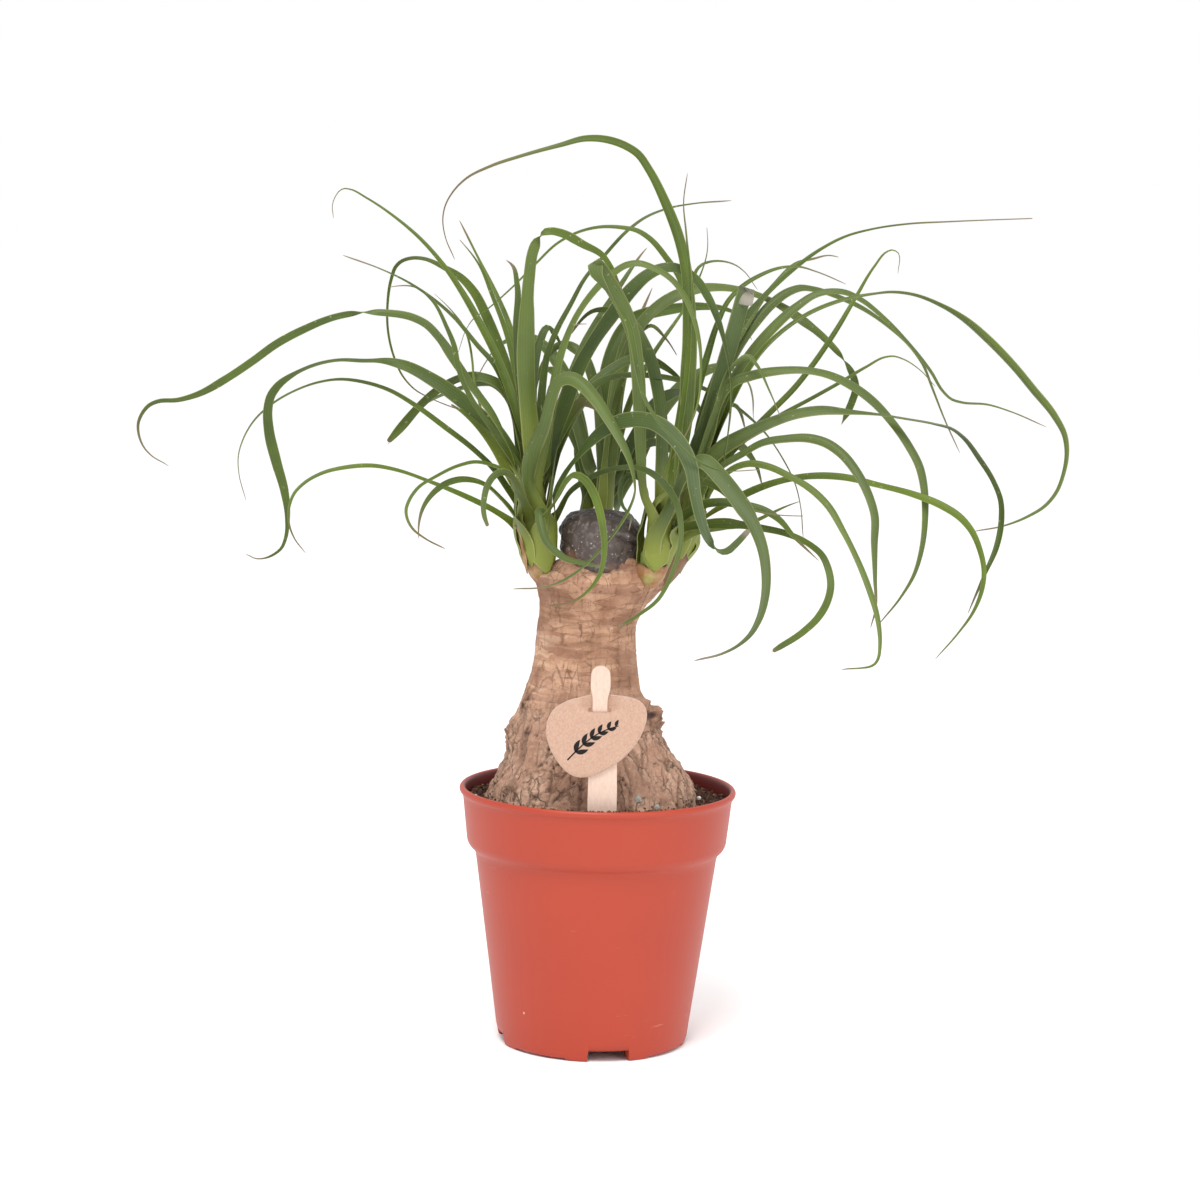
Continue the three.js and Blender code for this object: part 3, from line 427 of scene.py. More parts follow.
# %% Pot material
def moulded_polypropylene():
    """Terracotta red with pale scuffs where strokes cross patches, a few grains of dust, and a deep red
    painted shade over the inside wall. The fine grain of the mould is drawn at 1 mm, coarser than it
    is, so that it shows."""
    material, tree = new_material("moulded polypropylene")
    place, read = surface_inputs(tree, "inside")
    cloud = add(tree, "TexNoise", {"Vector": place, "Scale": every(35.7), "Detail": 3.0})
    base = add(tree, "MixRGB", {"Fac": cloud, "Color1": "#9d2f15", "Color2": "#a6361b"})
    stretched = add(tree, "Mapping", {"Vector": place, "Scale": every(11.1, 11.1, 2.38),
                                      "Rotation": (0.1, 0.05, 0.3)})
    strokes = add(tree, "TexNoise", {"Vector": stretched, "Scale": 1.0, "Detail": 2.0})
    patches = add(tree, "TexNoise", {"Vector": place, "Scale": every(31.3), "Detail": 1.0})
    patch = add(tree, "MapRange", {"Value": patches, "From Min": 0.56, "From Max": 0.7})
    dust = add(tree, "TexVoronoi", {"Vector": place, "Scale": every(9.52)})
    picked = add(tree, "SeparateColor", {"Color": dust.outputs["Color"]})
    rare = add(tree, "Math", {0: picked.outputs["Red"], 1: 0.93}, operation="GREATER_THAN")
    # The inside wall is painted deep red: painted shade for the little light that falls into the pot.
    colour = shaded(tree, base,
                    (strokes, 0.68, 0.76, 0.45, "#c68a6e", patch),
                    (dust.outputs["Distance"], 0.075, 0.045, 1.0, "#ce9f7d", rare),
                    (read["inside"], 0, 1, 1, "#5e0c05"))
    fine = add(tree, "TexNoise", {"Vector": place, "Scale": every(1.11), "Detail": 2.0})
    bump = add(tree, "Bump", {"Height": fine, "Strength": 0.12, "Distance": 0.2 * MM})
    rough = add(tree, "MapRange", {"Value": cloud, "To Min": 0.42, "To Max": 0.5})
    return finished(material, Base_Color=colour, Roughness=rough, IOR=1.49, Normal=bump)


pot_material = moulded_polypropylene()

# %% [markdown]
# ## Nursery pot: a turned wall
# A turned outline would do for a plain pot. Here the foot is cut by four notches and stands on low
# pads beside them, so the wall is a function of the place on the outline and of the angle. Corners
# of the outline are rounded first.

# %% Pot
POT_OUTLINE = np.array([
    [36.2, 5.6], [36.9, 4.8], [37.4, 0.5], [38, 0], [40.3, 0], [41, 0.6], [41.5, 2.4], [52.4, 82],
    [53.2, 84.3], [55.3, 86.2], [56.3, 88.2], [58.3, 107], [58.8, 108.6], [59.8, 109.6], [60, 110.9],
    [59.3, 112], [58.2, 112], [57.4, 111.2], [57, 109], [55.1, 89], [54.2, 87.3], [52.1, 85.4],
    [51.2, 83.6], [50.9, 82], [40.3, 8.6], [39, 7.1]])
NOTCH_TOP = 5.0
NOTCH_HALF = 12.2
NOTCH_ANGLE = -79.6
PAD_HALF = 26.0
PAD_HEIGHT = 0.7
CORNER_CUT = 0.9
COLUMN_STEP = 1.25
OUT_OF_ROUND = 0.0012


def rounded(outline, cut):
    """Replaces each corner of an open outline by a short curve that starts and ends on its sides,
    at most the cut length away, and divides the long sides."""
    result = [outline[:1]]
    for before, corner, after in zip(outline[:-2], outline[1:-1], outline[2:]):
        lengths = [np.linalg.norm(corner - before), np.linalg.norm(after - corner)]
        one = corner + (before - corner) * min(cut / lengths[0], 0.45)
        two = corner + (after - corner) * min(cut / lengths[1], 0.45)
        t = np.linspace(0, 1, 5)[:, None]
        result.append((1 - t) ** 2 * one + 2 * t * (1 - t) * corner + t**2 * two)
    result.append(outline[-1:])
    joined = np.concatenate(result)
    pieces = [joined[:1]]
    for start, end in zip(joined[:-1], joined[1:]):
        parts = max(1, int(np.linalg.norm(end - start) / 4))
        pieces.append(start + (end - start) * (np.arange(1, parts + 1) / parts)[:, None])
    return np.concatenate(pieces)


def foot_lift(degrees):
    """Lift of the foot's edge: up to the notch top inside a notch, and a little between the pads."""
    turn = (degrees - NOTCH_ANGLE + 45) % 90 - 45
    notch = smooth(NOTCH_HALF + 0.9, NOTCH_HALF - 0.3, np.abs(turn))
    off_pad = smooth(PAD_HALF - 1, PAD_HALF + 0.6, np.abs(turn))
    return notch, PAD_HEIGHT * off_pad


def pot_surface():
    """The rounded outline turned round Z, a trace oval towards the rim. Near the foot the height is
    raised to the notch top inside the notches, so the outline folds flat there and leaves a gate in
    the ring."""
    edges = (np.arange(4) * 90 + NOTCH_ANGLE)[:, None] + np.array([-1, 1]) * NOTCH_HALF
    extra = (edges.ravel()[:, None] + np.linspace(-1.2, 1.2, 9)).ravel() % 360
    degrees = np.unique(np.concatenate([np.arange(0, 360, COLUMN_STEP), extra]))
    degrees = degrees[np.concatenate([[True], np.diff(degrees) > 0.02])]
    outline = rounded(POT_OUTLINE, CORNER_CUT)
    radius, height = outline[:, 0][:, None], outline[:, 1][:, None]
    notch, pad = foot_lift(degrees)
    low = smooth(2.4, 0.2, height)
    lifted = height + pad * low * (1 - notch)
    lifted = np.where(height < NOTCH_TOP, lifted + (NOTCH_TOP - lifted) * notch, lifted)
    angle = np.radians(degrees)[None, :]
    warp = 1 + OUT_OF_ROUND * np.sin(2 * angle + 0.7) * smooth(60, 110, height)
    grid = polar(radius * warp, angle, lifted)
    top_row = int(np.argmax(outline[:, 1]))
    # inside marks the inner wall, where the material paints shade.
    inside = np.broadcast_to(smooth(top_row, top_row + 9, np.arange(len(outline)))[:, None], grid.shape[:2])
    return capped(grid, [0, 0, POT_OUTLINE[0, 1]], [0, 0, POT_OUTLINE[-1, 1]], inside=inside)


points, faces, attributes = pot_surface()
pot = piece("nursery_pot", points, faces, pot_material, attributes, ["pot"])
print("pot", len(pot.data.polygons), "faces")

# %% [markdown]
# ## Drain holes
# The six holes go right through the floor of the pot. A cut with a Boolean modifier is the simplest
# way to put round holes in a flat fan of faces, and its result is applied, so no modifier is left.

# %% Drain holes
DRAINS = 6
DRAIN_RADIUS = 3.6
DRAIN_RING = 23.0
DRILL_FROM = 3.0
DRILL_TO = 9.0
DRILL_SIDES = 32


def cut_holes(target, centres, radius, low, high):
    """Cuts upright round holes with one Boolean modifier and applies it."""
    sides = np.arange(DRILL_SIDES)
    circle = polar(radius, directions(DRILL_SIDES))[:, :2]
    after = (sides + 1) % DRILL_SIDES
    walls = np.stack([sides, after, DRILL_SIDES + after, DRILL_SIDES + sides], -1)
    verts, polygons = [], []
    for centre in centres:
        start = len(verts)
        for z in (low, high):
            verts += [[x * MM, y * MM, z * MM] for x, y in circle + centre]
        polygons += (start + walls).tolist()
        polygons += [(start + sides[::-1]).tolist(), (start + DRILL_SIDES + sides).tolist()]
    mesh = bpy.data.meshes.new("drill")
    mesh.from_pydata(verts, [], polygons)
    drill = bpy.data.objects.new("drill", mesh)
    scene.collection.objects.link(drill)
    cut = target.modifiers.new("holes", "BOOLEAN")
    cut.operation = "DIFFERENCE"
    cut.solver = "EXACT"
    cut.object = drill
    bpy.context.view_layer.update()
    graph = bpy.context.evaluated_depsgraph_get()
    result = bpy.data.meshes.new_from_object(target.evaluated_get(graph))
    target.modifiers.clear()
    target.data = result
    bpy.data.objects.remove(drill)


drain_centres = polar(DRAIN_RING, directions(DRAINS))
cut_holes(pot, drain_centres[:, :2], DRAIN_RADIUS, DRILL_FROM, DRILL_TO)
print("pot with drains", len(pot.data.polygons), "faces")

# %% [markdown]
# ## Bark
# The trunk has two kinds of bark. The upper part is thin, smooth and tan, with level rings where old
# leaves stood, and fine upright cracks. The swollen foot is cork: coarse grey-brown plates with
# upright fissures and small pits. The relief is real geometry, and it also gives the material its
# masks: how corky a place is, how deep in a crack, and how dark a knot. Deep cracks, valleys and pits
# are painted darker: partly the darker bark in them, partly painted shade in these hollows.

# %% Bark material
def bark_skin():
    """Tan thin bark above and grey-brown cork below, mixed by the relief's own mask. Thin bark has
    level leaf scars and upright splits, cork has upright fissures; both lie on places that a noise
    has bent, so that no line is straight. The wood grain is drawn at 1 mm so that it shows."""
    material, tree = new_material("ponytail bark")
    place, masks = surface_inputs(tree, "cork", "crack", "band", "knot", "plate")
    bend = add(tree, "TexNoise", {"Vector": place, "Scale": every(7.69), "Detail": 3.0}).outputs["Color"]
    bent = add(tree, "VectorMath", {0: bend, 1: [7 * MM] * 3, 2: place}, operation="MULTIPLY_ADD")
    eased = add(tree, "VectorMath", {0: bend, 1: [2.4 * MM, 2.4 * MM, 1.4 * MM], 2: place},
                operation="MULTIPLY_ADD")
    broad = add(tree, "TexNoise", {"Vector": place, "Scale": every(11.76), "Detail": 5.0, "Roughness": 0.62})
    blotch = add(tree, "MapRange", {"Value": broad, "From Min": 0.34, "From Max": 0.66})
    spot = add(tree, "TexNoise", {"Vector": place, "Scale": every(1.613), "Detail": 4.0, "Roughness": 0.7})

    # Patterns that are stretched level or upright: where they lie, width, height, detail or feature.
    drawn = {}
    for name, within, wide, high, detail in (
            ("grain", place, 1.0, 4.17, 3.0), ("ring", bent, 33.3, 3.03, 2.0),
            ("streak", bent, 4.76, 38.5, 3.0), ("scratch", bent, 2.38, 10.53, 2.0),
            ("scar", eased, 15.15, 3.704, "F1"), ("scar edge", eased, 15.15, 3.704, "DISTANCE_TO_EDGE"),
            ("split", eased, 4.76, 38.5, "DISTANCE_TO_EDGE"),
            ("fissure", bent, 6.67, 19.23, "DISTANCE_TO_EDGE"),
            ("fine fissure", bent, 3.226, 8.33, "DISTANCE_TO_EDGE")):
        stretched = add(tree, "Mapping", {"Vector": within, "Scale": every(wide, wide, high)})
        if isinstance(detail, str):
            drawn[name] = add(tree, "TexVoronoi", {"Vector": stretched, "Scale": 1.0}, feature=detail)
        else:
            drawn[name] = add(tree, "TexNoise", {"Vector": stretched, "Scale": 1.0, "Detail": detail})
    scar_shade = drawn["scar"].outputs["Color"]
    worn = add(tree, "MapRange", {"Value": drawn["streak"], "From Min": 0.42, "From Max": 0.58})
    dry = add(tree, "MapRange", {"Value": broad, "From Min": 0.5, "From Max": 0.58})

    tan = add(tree, "MixRGB", {"Fac": blotch, "Color1": "#946b51", "Color2": "#c39b7f"})
    tan = shaded(tree, tan,
                 (drawn["ring"], 0.56, 0.64, 0.25, "#825c42"),
                 (drawn["ring"], 0.42, 0.34, 0.5, "#cfaf94"),
                 (drawn["streak"], 0.57, 0.7, 0.6, "#7e583f"),
                 (masks["band"], 0, 1, 1, "#876147"),
                 (scar_shade, 0.46, 0.3, 0.42, "#805a49"),
                 (scar_shade, 0.58, 0.8, 0.2, "#c6a083"),
                 (drawn["scar edge"], 0.05, 0.0, 0.75, "#6a4830", worn),
                 (drawn["split"], 0.045, 0.01, 0.6, "#684530", dry),
                 (drawn["scratch"], 0.66, 0.72, 0.6, "#5b3c28"))
    plate_tone = add(tree, "MixRGB", {"Fac": masks["plate"], "Color1": "#a27c66", "Color2": "#cba891"})
    cork_tone = add(tree, "MixRGB", {"Fac": blotch, "Color1": "#a17b65", "Color2": plate_tone})

    fissure = add(tree, "MapRange", {"Value": drawn["fissure"], "From Min": 0.055, "From Max": 0.0,
                                     "To Max": 0.68})
    fine_fissure = add(tree, "MapRange", {"Value": drawn["fine fissure"], "From Min": 0.06, "From Max": 0.0,
                                          "To Max": 0.3})
    cracked = add(tree, "MapRange", {"Value": broad, "From Min": 0.4, "From Max": 0.56})
    lines = add(tree, "Math", {0: fissure, 1: fine_fissure}, operation="MAXIMUM")
    for limit in (cracked, masks["cork"]):
        lines = add(tree, "Math", {0: lines, 1: limit}, operation="MULTIPLY")
    # The crack mask darkens cracks, valleys and pits: partly the darker bark there, partly painted shade.
    colour = shaded(tree, tan,
                    (masks["cork"], 0, 1, 1, cork_tone),
                    (spot, 0.55, 0.68, 0.5, "#71503b"),
                    (spot, 0.4, 0.34, 0.4, "#d4baa2", masks["cork"]),
                    (lines, 0, 1, 1, "#452f20"),
                    (masks["crack"], 0, 1, 1, "#3f2b1b"),
                    (masks["knot"], 0, 1, 1, "#38241d"))
    heights = add(tree, "Math", {0: drawn["grain"], 1: 0.4, 2: spot}, operation="MULTIPLY_ADD")
    heights = add(tree, "Math", {0: lines, 1: -1.2, 2: heights}, operation="MULTIPLY_ADD")
    strength = add(tree, "MapRange", {"Value": masks["cork"], "To Min": 0.45, "To Max": 1.0})
    bump = add(tree, "Bump", {"Height": heights, "Strength": strength, "Distance": 0.7 * MM})
    # Brown board of pressed fibres with darker specks, and a pale painted highlight along the cut edge. The
    # fibres are drawn up to 1.7 mm long, coarser than they are, so that they show.
    return finished(material, Base_Color=colour, Roughness=0.85, IOR=1.45, Normal=bump)


bark_material = bark_skin()

# %% [markdown]
# ## Trunk: relief from random fields
# A bump map would leave the outline of the trunk smooth, and this outline is rough. So the relief is
# geometry, added along the surface normal: cork below, thin bark above, and a few lumps and dark
# knots at the places where this trunk has them.

# %% Trunk relief
TRUNK_LUMPS = [((24, -9, 149), 2.8, 2.2), ((26, -6, 144), 3.2, 2.2), ((27, -3, 139), 2.4, 1.2),
               ((18, -17, 139), 3.2, 1.2), ((-33, -12, 150), 3.6, 1.4), ((-38, -8, 134), 3.6, 1.4),
               ((-41, -4, 139), 2.4, 1.4), ((27, -2, 197), 5.0, 0.6), ((-27, -6, 197), 5.0, 0.3),
               ((-2, 24, 200), 6.0, 2.4)]
TRUNK_KNOTS = [((-35, -13, 150), 1.7, 0.95), ((25, -12, 146), 1.6, 0.9), ((26, -8, 141), 1.4, 0.7),
               ((-33, -20, 139), 1.0, 0.6), ((-22, -26, 158), 0.9, 0.5)]


def swelling(grid, place, reach, height):
    """A round swelling: a bell curve of the distance to the surface point nearest to a place."""
    distance = np.linalg.norm(grid - np.array(place), axis=-1)
    distance = distance - min(distance.min(), 6.0)
    return height * np.exp(-(distance / reach) ** 2)


def on_drum(grid, radius, wander):
    """Places moved to a drum of one radius round the trunk, and shifted sideways by a random
    wander, so that a pattern stretched along z runs up the trunk whatever its thickness."""
    angle = np.arctan2(grid[..., 1], grid[..., 0] + 3) + wander
    return polar(radius, angle, grid[..., 2])


def line_mask(field, width):
    """1 where a field crosses zero, falling to 0 where it passes the width."""
    return 1 - smooth(0, width, np.abs(field))


def cork_relief(grid):
    """Cork: ribs and valleys that run down from the neck, flat scaly plates that tilt like shingles
    between thin broken cracks, lumps at three sizes, and pits."""
    drum = on_drum(grid, 34.0, 0.16 * noise(grid, 22.0, 31, 2))
    warp = noise(drum, 7.0, 11, 3)[..., None] * np.array([2.4, 2.4, 4.4])
    _, border, plate, above = cells(drum + warp, (8.0, 8.0, 17.0), 21)
    _, fine_border, fine_plate, fine_above = cells(drum + 0.6 * warp, (3.4, 3.4, 4.6), 27)
    pit_distance, _, pit_pick, _ = cells(grid, 4.0, 41)
    valley = line_mask(noise(drum, (9.0, 9.0, 75.0), 33, 2), 0.14)
    crack = np.exp(-border / 0.04) * smooth(-0.4, 0.3, noise(grid, 6.0, 43, 2))
    fine_crack = np.exp(-fine_border / 0.05) * smooth(0.0, 0.5, noise(grid, 7.0, 45, 2))
    pit = (pit_pick > 0.72) * smooth(0.24, 0.1, pit_distance)
    ribs = 1.5 * noise(drum, (11.0, 11.0, 60.0), 5, 2)
    lumps = 0.6 * noise(grid, 5.0, 6, 3) + 0.34 * noise(grid, 1.8, 16, 2)
    shingles = 0.9 * (plate - 0.5) - 1.0 * above * (plate - 0.35) - 0.5 * fine_above * (fine_plate - 0.3)
    relief = ribs + lumps + shingles - 0.9 * crack - 0.4 * fine_crack - 0.8 * valley - 0.9 * pit
    # Cracks, valleys and pits are darker the deeper they are: partly the fissures' own bark, partly painted
    # shade.
    dark = np.maximum(np.maximum(0.8 * crack, 0.45 * valley), 0.35 * fine_crack + 0.8 * pit)
    return relief, dark, 0.5 * plate + 0.5 * fine_plate


def thin_bark_relief(grid):
    """Thin bark: level rings a few millimetres apart, worn away in places, and fine upright cracks."""
    drum = on_drum(grid, 22.0, 0.1 * noise(grid, 22.0, 35, 2))
    level = grid[..., 2] / 3.1 + 0.7 * noise(grid, (16, 16, 9), 7, 2)
    ring = np.exp(-np.abs(level - np.round(level)) / 0.09) * smooth(-0.3, 0.5, noise(grid, (8, 8, 4), 8))
    crack = line_mask(noise(drum, (5.0, 5.0, 34.0), 9, 2), 0.06) * smooth(-0.3, 0.4, noise(grid, 11.0, 10))
    folds = noise(drum, (5.5, 5.5, 50.0), 19, 2)
    band = smooth(0.05, 0.75, noise(drum, (15, 15, 4.2), 15, 2))
    relief = 0.3 * noise(grid, 8.0, 12, 3) + 0.38 * folds - 0.22 * ring - 0.4 * crack + 0.2 * band
    return relief, np.clip(0.4 * ring + 0.65 * crack, 0, 1), band


def trunk_relief(grid):
    """Relief in millimetres and the masks of the bark: cork below, thin bark above, lumps and
    dark knots at their own places. The cork mask fades between the two over a ragged height."""
    cork = smooth(160, 138, grid[..., 2] + 9 * noise(grid, 15.0, 3, 2))
    cork_height, cork_dark, plate = cork_relief(grid)
    thin_height, thin_dark, band = thin_bark_relief(grid)
    relief = cork * cork_height + (1 - cork) * thin_height
    rough = 1 + 0.8 * noise(grid, 2.0, 14, 2)
    for place, reach, height in TRUNK_LUMPS:
        relief = relief + swelling(grid, place, reach, height) * rough
    knot = sum(swelling(grid, *numbers) for numbers in TRUNK_KNOTS)
    knot = knot * (0.75 + 0.9 * noise(grid, 1.7, 47, 3))
    masks = {"cork": cork, "crack": np.clip(cork * cork_dark + (1 - cork) * thin_dark, 0, 1),
             "band": 0.75 * band * (1 - cork), "knot": np.clip(knot, 0, 1), "plate": plate}
    return relief, masks


# %% [markdown]
# ## Trunk: rows from the frame
# The fine trunk passes through the rows of the construction model. Rings round the trunk are made
# finer by a Fourier series, and rows between rows come from cubic curves. At the cut head the bark
# rounds over to the seal, higher at both sides, with two torn lips in front.

# %% Trunk
TRUNK_COLUMNS = 360
TRUNK_FOOT = 80.3
SOIL_LEVEL = 106.0
RIM_HEIGHT = 205.4
ROW_STEP = 0.46
HEAD_ROWS = 22
HEAD_MIDDLE = np.array([-0.4, 0, 0])
SEAL_REACH = 16.0
TORN_LIPS = [(-0.85, 0.42, 4.0), (-2.3, 0.4, 1.8)]  # angle, half width, height


def trunk_head(rim):
    """Rows from the rim of the bark in to the seal: spokes that shrink to the seal's reach and round
    over by a quarter sine. The sides rise with the square of the sideways direction, and each lip is
    a bell curve of the angle."""
    inwards = np.linspace(0.0, 1.0, HEAD_ROWS)[1:, None, None]
    spoke = rim - HEAD_MIDDLE
    reach = np.linalg.norm(spoke[..., :2], axis=-1, keepdims=True)
    head = HEAD_MIDDLE + spoke * np.array([1, 1, 0]) * (1 - inwards + inwards * SEAL_REACH / reach)
    angle = np.arctan2(spoke[..., 1:2], spoke[..., :1])
    sides = 3.6 * (spoke[..., :1] / reach) ** 2 * smooth(0.1, 0.8, inwards)
    lips = sum(height * np.exp(-((angle - middle) / half) ** 2) for middle, half, height in TORN_LIPS)
    lips = lips * smooth(0.0, 0.4, inwards) * (1 + 0.35 * noise(head, 2.4, 18, 2))[..., None]
    rounding = 1.5 * np.sin(np.pi / 2 * np.minimum(inwards * 3, 1))
    head[..., 2:] = rim[..., 2:] + rounding + (sides + lips)
    head[..., 2] += 0.7 * noise(head, 3.6, 17, 2)
    return head


_, _, rough_rings = node_rings("trunk", 36)
rough_rings = finer_columns(by_angle(rough_rings, 0.88), TRUNK_COLUMNS)
trunk_heights = np.concatenate([np.linspace(TRUNK_FOOT, 99, 12), np.arange(100, RIM_HEIGHT, ROW_STEP)])
trunk_grid = finer_rows(rough_rings, trunk_heights)
relief, masks = trunk_relief(trunk_grid)
relief = relief * smooth(80, 100, trunk_grid[..., 2])
trunk_fine = trunk_grid + normals(trunk_grid) * relief[..., None]
head = trunk_head(trunk_fine[-1][None])
_, head_masks = trunk_relief(head)
masks = {key: np.concatenate([masks[key], head_masks[key]]) for key in masks}
points, faces, attributes = capped(np.concatenate([trunk_fine, head]),
                                   [-2, 0, TRUNK_FOOT - 0.7], [-0.4, 0, 208.5], **masks)
trunk = piece("trunk_bark", points, faces, bark_material, attributes, ["trunk"])
print("trunk", len(trunk.data.polygons), "faces")

# %% [markdown]
# ## Soil: a body of peat and loose crumbs
# Potting peat is a dark crumbly mass. The body is one closed surface: a pocket that follows the
# trunk, a rough top, and the pot's inside wall. What makes peat look loose are the separate bits on
# top of it: crumbs, and a few white grains of perlite. Each kind is one joined mesh, made below.

# %% Soil material
def damp_peat():
    """Dark brown in crumbs 2.4 mm wide, and paler where the attribute shade says so, because a
    single crumb dries before the rest."""
    material, tree = new_material("damp peat")
    place, read = surface_inputs(tree, "shade")
    broad = add(tree, "TexNoise", {"Vector": place, "Scale": every(2.381), "Detail": 4.0, "Roughness": 0.65})
    colour = shaded(tree, "#28150d",
                    (broad, 0.4, 0.65, 1.0, "#513222"),
                    (read["shade"], 0, 1, 1, "#7a5844"))
    bump = add(tree, "Bump", {"Height": broad, "Strength": 1.0, "Distance": 1.2 * MM})
    return finished(material, Base_Color=colour, Roughness=0.95, IOR=1.4, Normal=bump)


def plain_mineral(name, dark, light, size):
    """A rough mineral in two tones, in patches of the given size in millimetres."""
    material, tree = new_material(name)
    place, _ = surface_inputs(tree)
    patch = add(tree, "TexNoise", {"Vector": place, "Scale": every(size), "Detail": 3.0})
    colour = add(tree, "MixRGB", {"Fac": patch, "Color1": dark, "Color2": light})
    bump = add(tree, "Bump", {"Height": patch, "Strength": 0.6, "Distance": 0.4 * MM})
    return finished(material, Base_Color=colour, Roughness=0.8, IOR=1.5, Normal=bump)


peat_material = damp_peat()
perlite_material = plain_mineral("expanded perlite", "#c9c6c0", "#f1efea", 1.111)
pebble_material = plain_mineral("grey pebble", "#6b6a66", "#b9b4aa", 2.0)

# %% Soil
SOIL_WALL = np.array([[56.3, 104.8], [56.0, 101], [54.8, 89], [53.9, 87.5], [51.8, 85.6], [50.9, 83.6],
                      [50.5, 80], [40.1, 8.8], [38.8, 7.6]])
TOP_ROWS = 34
SOIL_REACH = 55.8


def soil_height(places):
    """Height of the soil at places (x, y): a slow wave, small heaps and crumbs."""
    angle = np.arctan2(places[..., 1], places[..., 0])
    radius = np.linalg.norm(places[..., :2], axis=-1)
    wave = 0.42 * np.sin(3 * angle + 0.1 * radius) + 0.28 * np.sin(7 * angle - 0.2 * radius)
    flat = places * np.array([1.0, 1.0, 0.0])
    heaps = 0.6 * noise(flat, 6.0, 61, 2) + 0.45 * noise(flat, 1.7, 63, 2)
    return SOIL_LEVEL + wave + heaps


def soil_surface():
    """Rows up the pocket's wall beside the trunk, out over the top to the pot, and down its wall. At
    the top the pocket is narrower than the trunk, so the soil closes against the bark."""
    heights = np.linspace(TRUNK_FOOT, SOIL_LEVEL, 10)
    pocket = finer_rows(rough_rings, heights)
    growth = 0.3 - 3.4 * smooth(94, SOIL_LEVEL, heights)
    pocket = pocket + normals(pocket) * growth[:, None, None]
    outward = polar(1.0, directions(TRUNK_COLUMNS))
    wall = SOIL_WALL[:, None, :1] * outward + SOIL_WALL[:, None, 1:] * np.array([0, 0, 1.0])
    share = np.linspace(0, 1, TOP_ROWS)[1:-1, None, None]
    top = pocket[-1] + (wall[0] - pocket[-1]) * share
    top[..., 2] = soil_height(top)
    return capped(np.concatenate([pocket, top, wall]), [-2, 0, 79.3], [0, 0, 7.6], shade=0.0)


points, faces, attributes = soil_surface()
soil = piece("peat_body", points, faces, peat_material, attributes, ["soil"])
print("soil", len(soil.data.polygons), "faces")

# %% [markdown]
# ## Loose bits
# A crumb is a bent icosahedron, which has twenty faces, so that a thousand of them stay light. They
# lie where the soil is bare, and their number falls off towards the trunk. A particle system could
# strew them, but plain arrays keep every place the same in each run.

# %% Loose bits
def icosahedron():
    """The twelve corners and twenty faces of an icosahedron of radius 1."""
    t = (1 + 5**0.5) / 2
    corners = [[a, b * t, 0] for a in (-1, 1) for b in (-1, 1)]
    corners += [[0, a, b * t] for a in (-1, 1) for b in (-1, 1)]
    corners += [[b * t, 0, a] for a in (-1, 1) for b in (-1, 1)]
    corners = np.array(corners, float)
    far = np.linalg.norm(corners[:, None] - corners[None], axis=-1)
    near = np.abs(far - 2) < 0.01
    faces = []
    for a, b, c in np.array([(a, b, c) for a in range(12) for b in range(a) for c in range(b)]):
        if near[a, b] and near[b, c] and near[a, c]:
            out = np.dot(np.cross(corners[b] - corners[a], corners[c] - corners[a]), corners[a])
            faces.append([a, b, c] if out > 0 else [a, c, b])
    return corners / np.linalg.norm(corners[0]), np.array(faces)


def grains(places, sizes, rng, flatness=0.7):
    """Joined grains: an icosahedron for each place, bent at random, flattened and turned."""
    corners, faces = icosahedron()
    count = len(places)
    bent = corners * rng.uniform(0.7, 1.2, (count, 12, 1)) * np.array([1, rng.uniform(0.7, 1), flatness])
    turn, _ = np.linalg.qr(rng.normal(size=(count, 3, 3)))
    turn[np.linalg.det(turn) < 0, :, 0] *= -1
    points = np.einsum("nij,nkj->nki", turn, bent) * sizes[:, None, None] + places[:, None]
    all_faces = faces[None] + (np.arange(count) * 12)[:, None, None]
    return points.reshape(-1, 3), all_faces.reshape(-1, 3)


def bare_places(count, rng, rise):
    """Random places on the bare ring of soil between the trunk and the pot."""
    angle = rng.uniform(0, 2 * np.pi, count)
    column = np.round(angle / (2 * np.pi) * TRUNK_COLUMNS).astype(int) % TRUNK_COLUMNS
    inner = finer_rows(rough_rings, np.array([SOIL_LEVEL]))[0, column]
    outer = polar(SOIL_REACH, angle)
    share = 1 - rng.uniform(0, 1, count)[:, None] ** 1.4
    places = inner + (outer - inner) * share
    places[:, 2] = soil_height(places) + rise
    return places


# %% [markdown]
# ## Where the bits lie
# Crumbs are strewn over the bare soil and stick to the foot of the bark, fewer the higher up. A
# thin line of dirt lies on the front of the rim. Two pebbles rest on the bark, and of the perlite
# grains three lie where they catch the eye on the right.

# %% Strewn bits
CRUMBS = 1500
RIM_CRUMBS = 70
RIM_MIDDLE = 58.3
BARK_CRUMBS = 420
BARK_CRUMBS_FROM = 104.5
BARK_CRUMBS_TO = 112.0
PEBBLES = np.array([[20.0, -42.0, 116.0], [31.0, -37.0, 111.5]])
PEBBLE_SIZES = np.array([1.9, 1.5])
PERLITE = 16
PERLITE_SEEN = [[44.5, 9], [51.0, -8], [49.5, -14]]
PERLITE_SEEN_SIZES = [1.3, 1.5, 0.9]


def strewn(name, places, sizes, material, flatness=0.7, palest=0.0, power=1.0):
    """One joined piece of grains. Their shades are random up to the palest, and the power makes pale
    ones rare. Without a palest shade they have none."""
    points, faces = grains(places, sizes, crumb_rng, flatness)
    attributes = None
    if palest:
        attributes = {"shade": np.repeat(crumb_rng.uniform(0, palest, len(places)) ** power, 12)}
    piece(name, points, [faces], material, attributes, smooth=False)


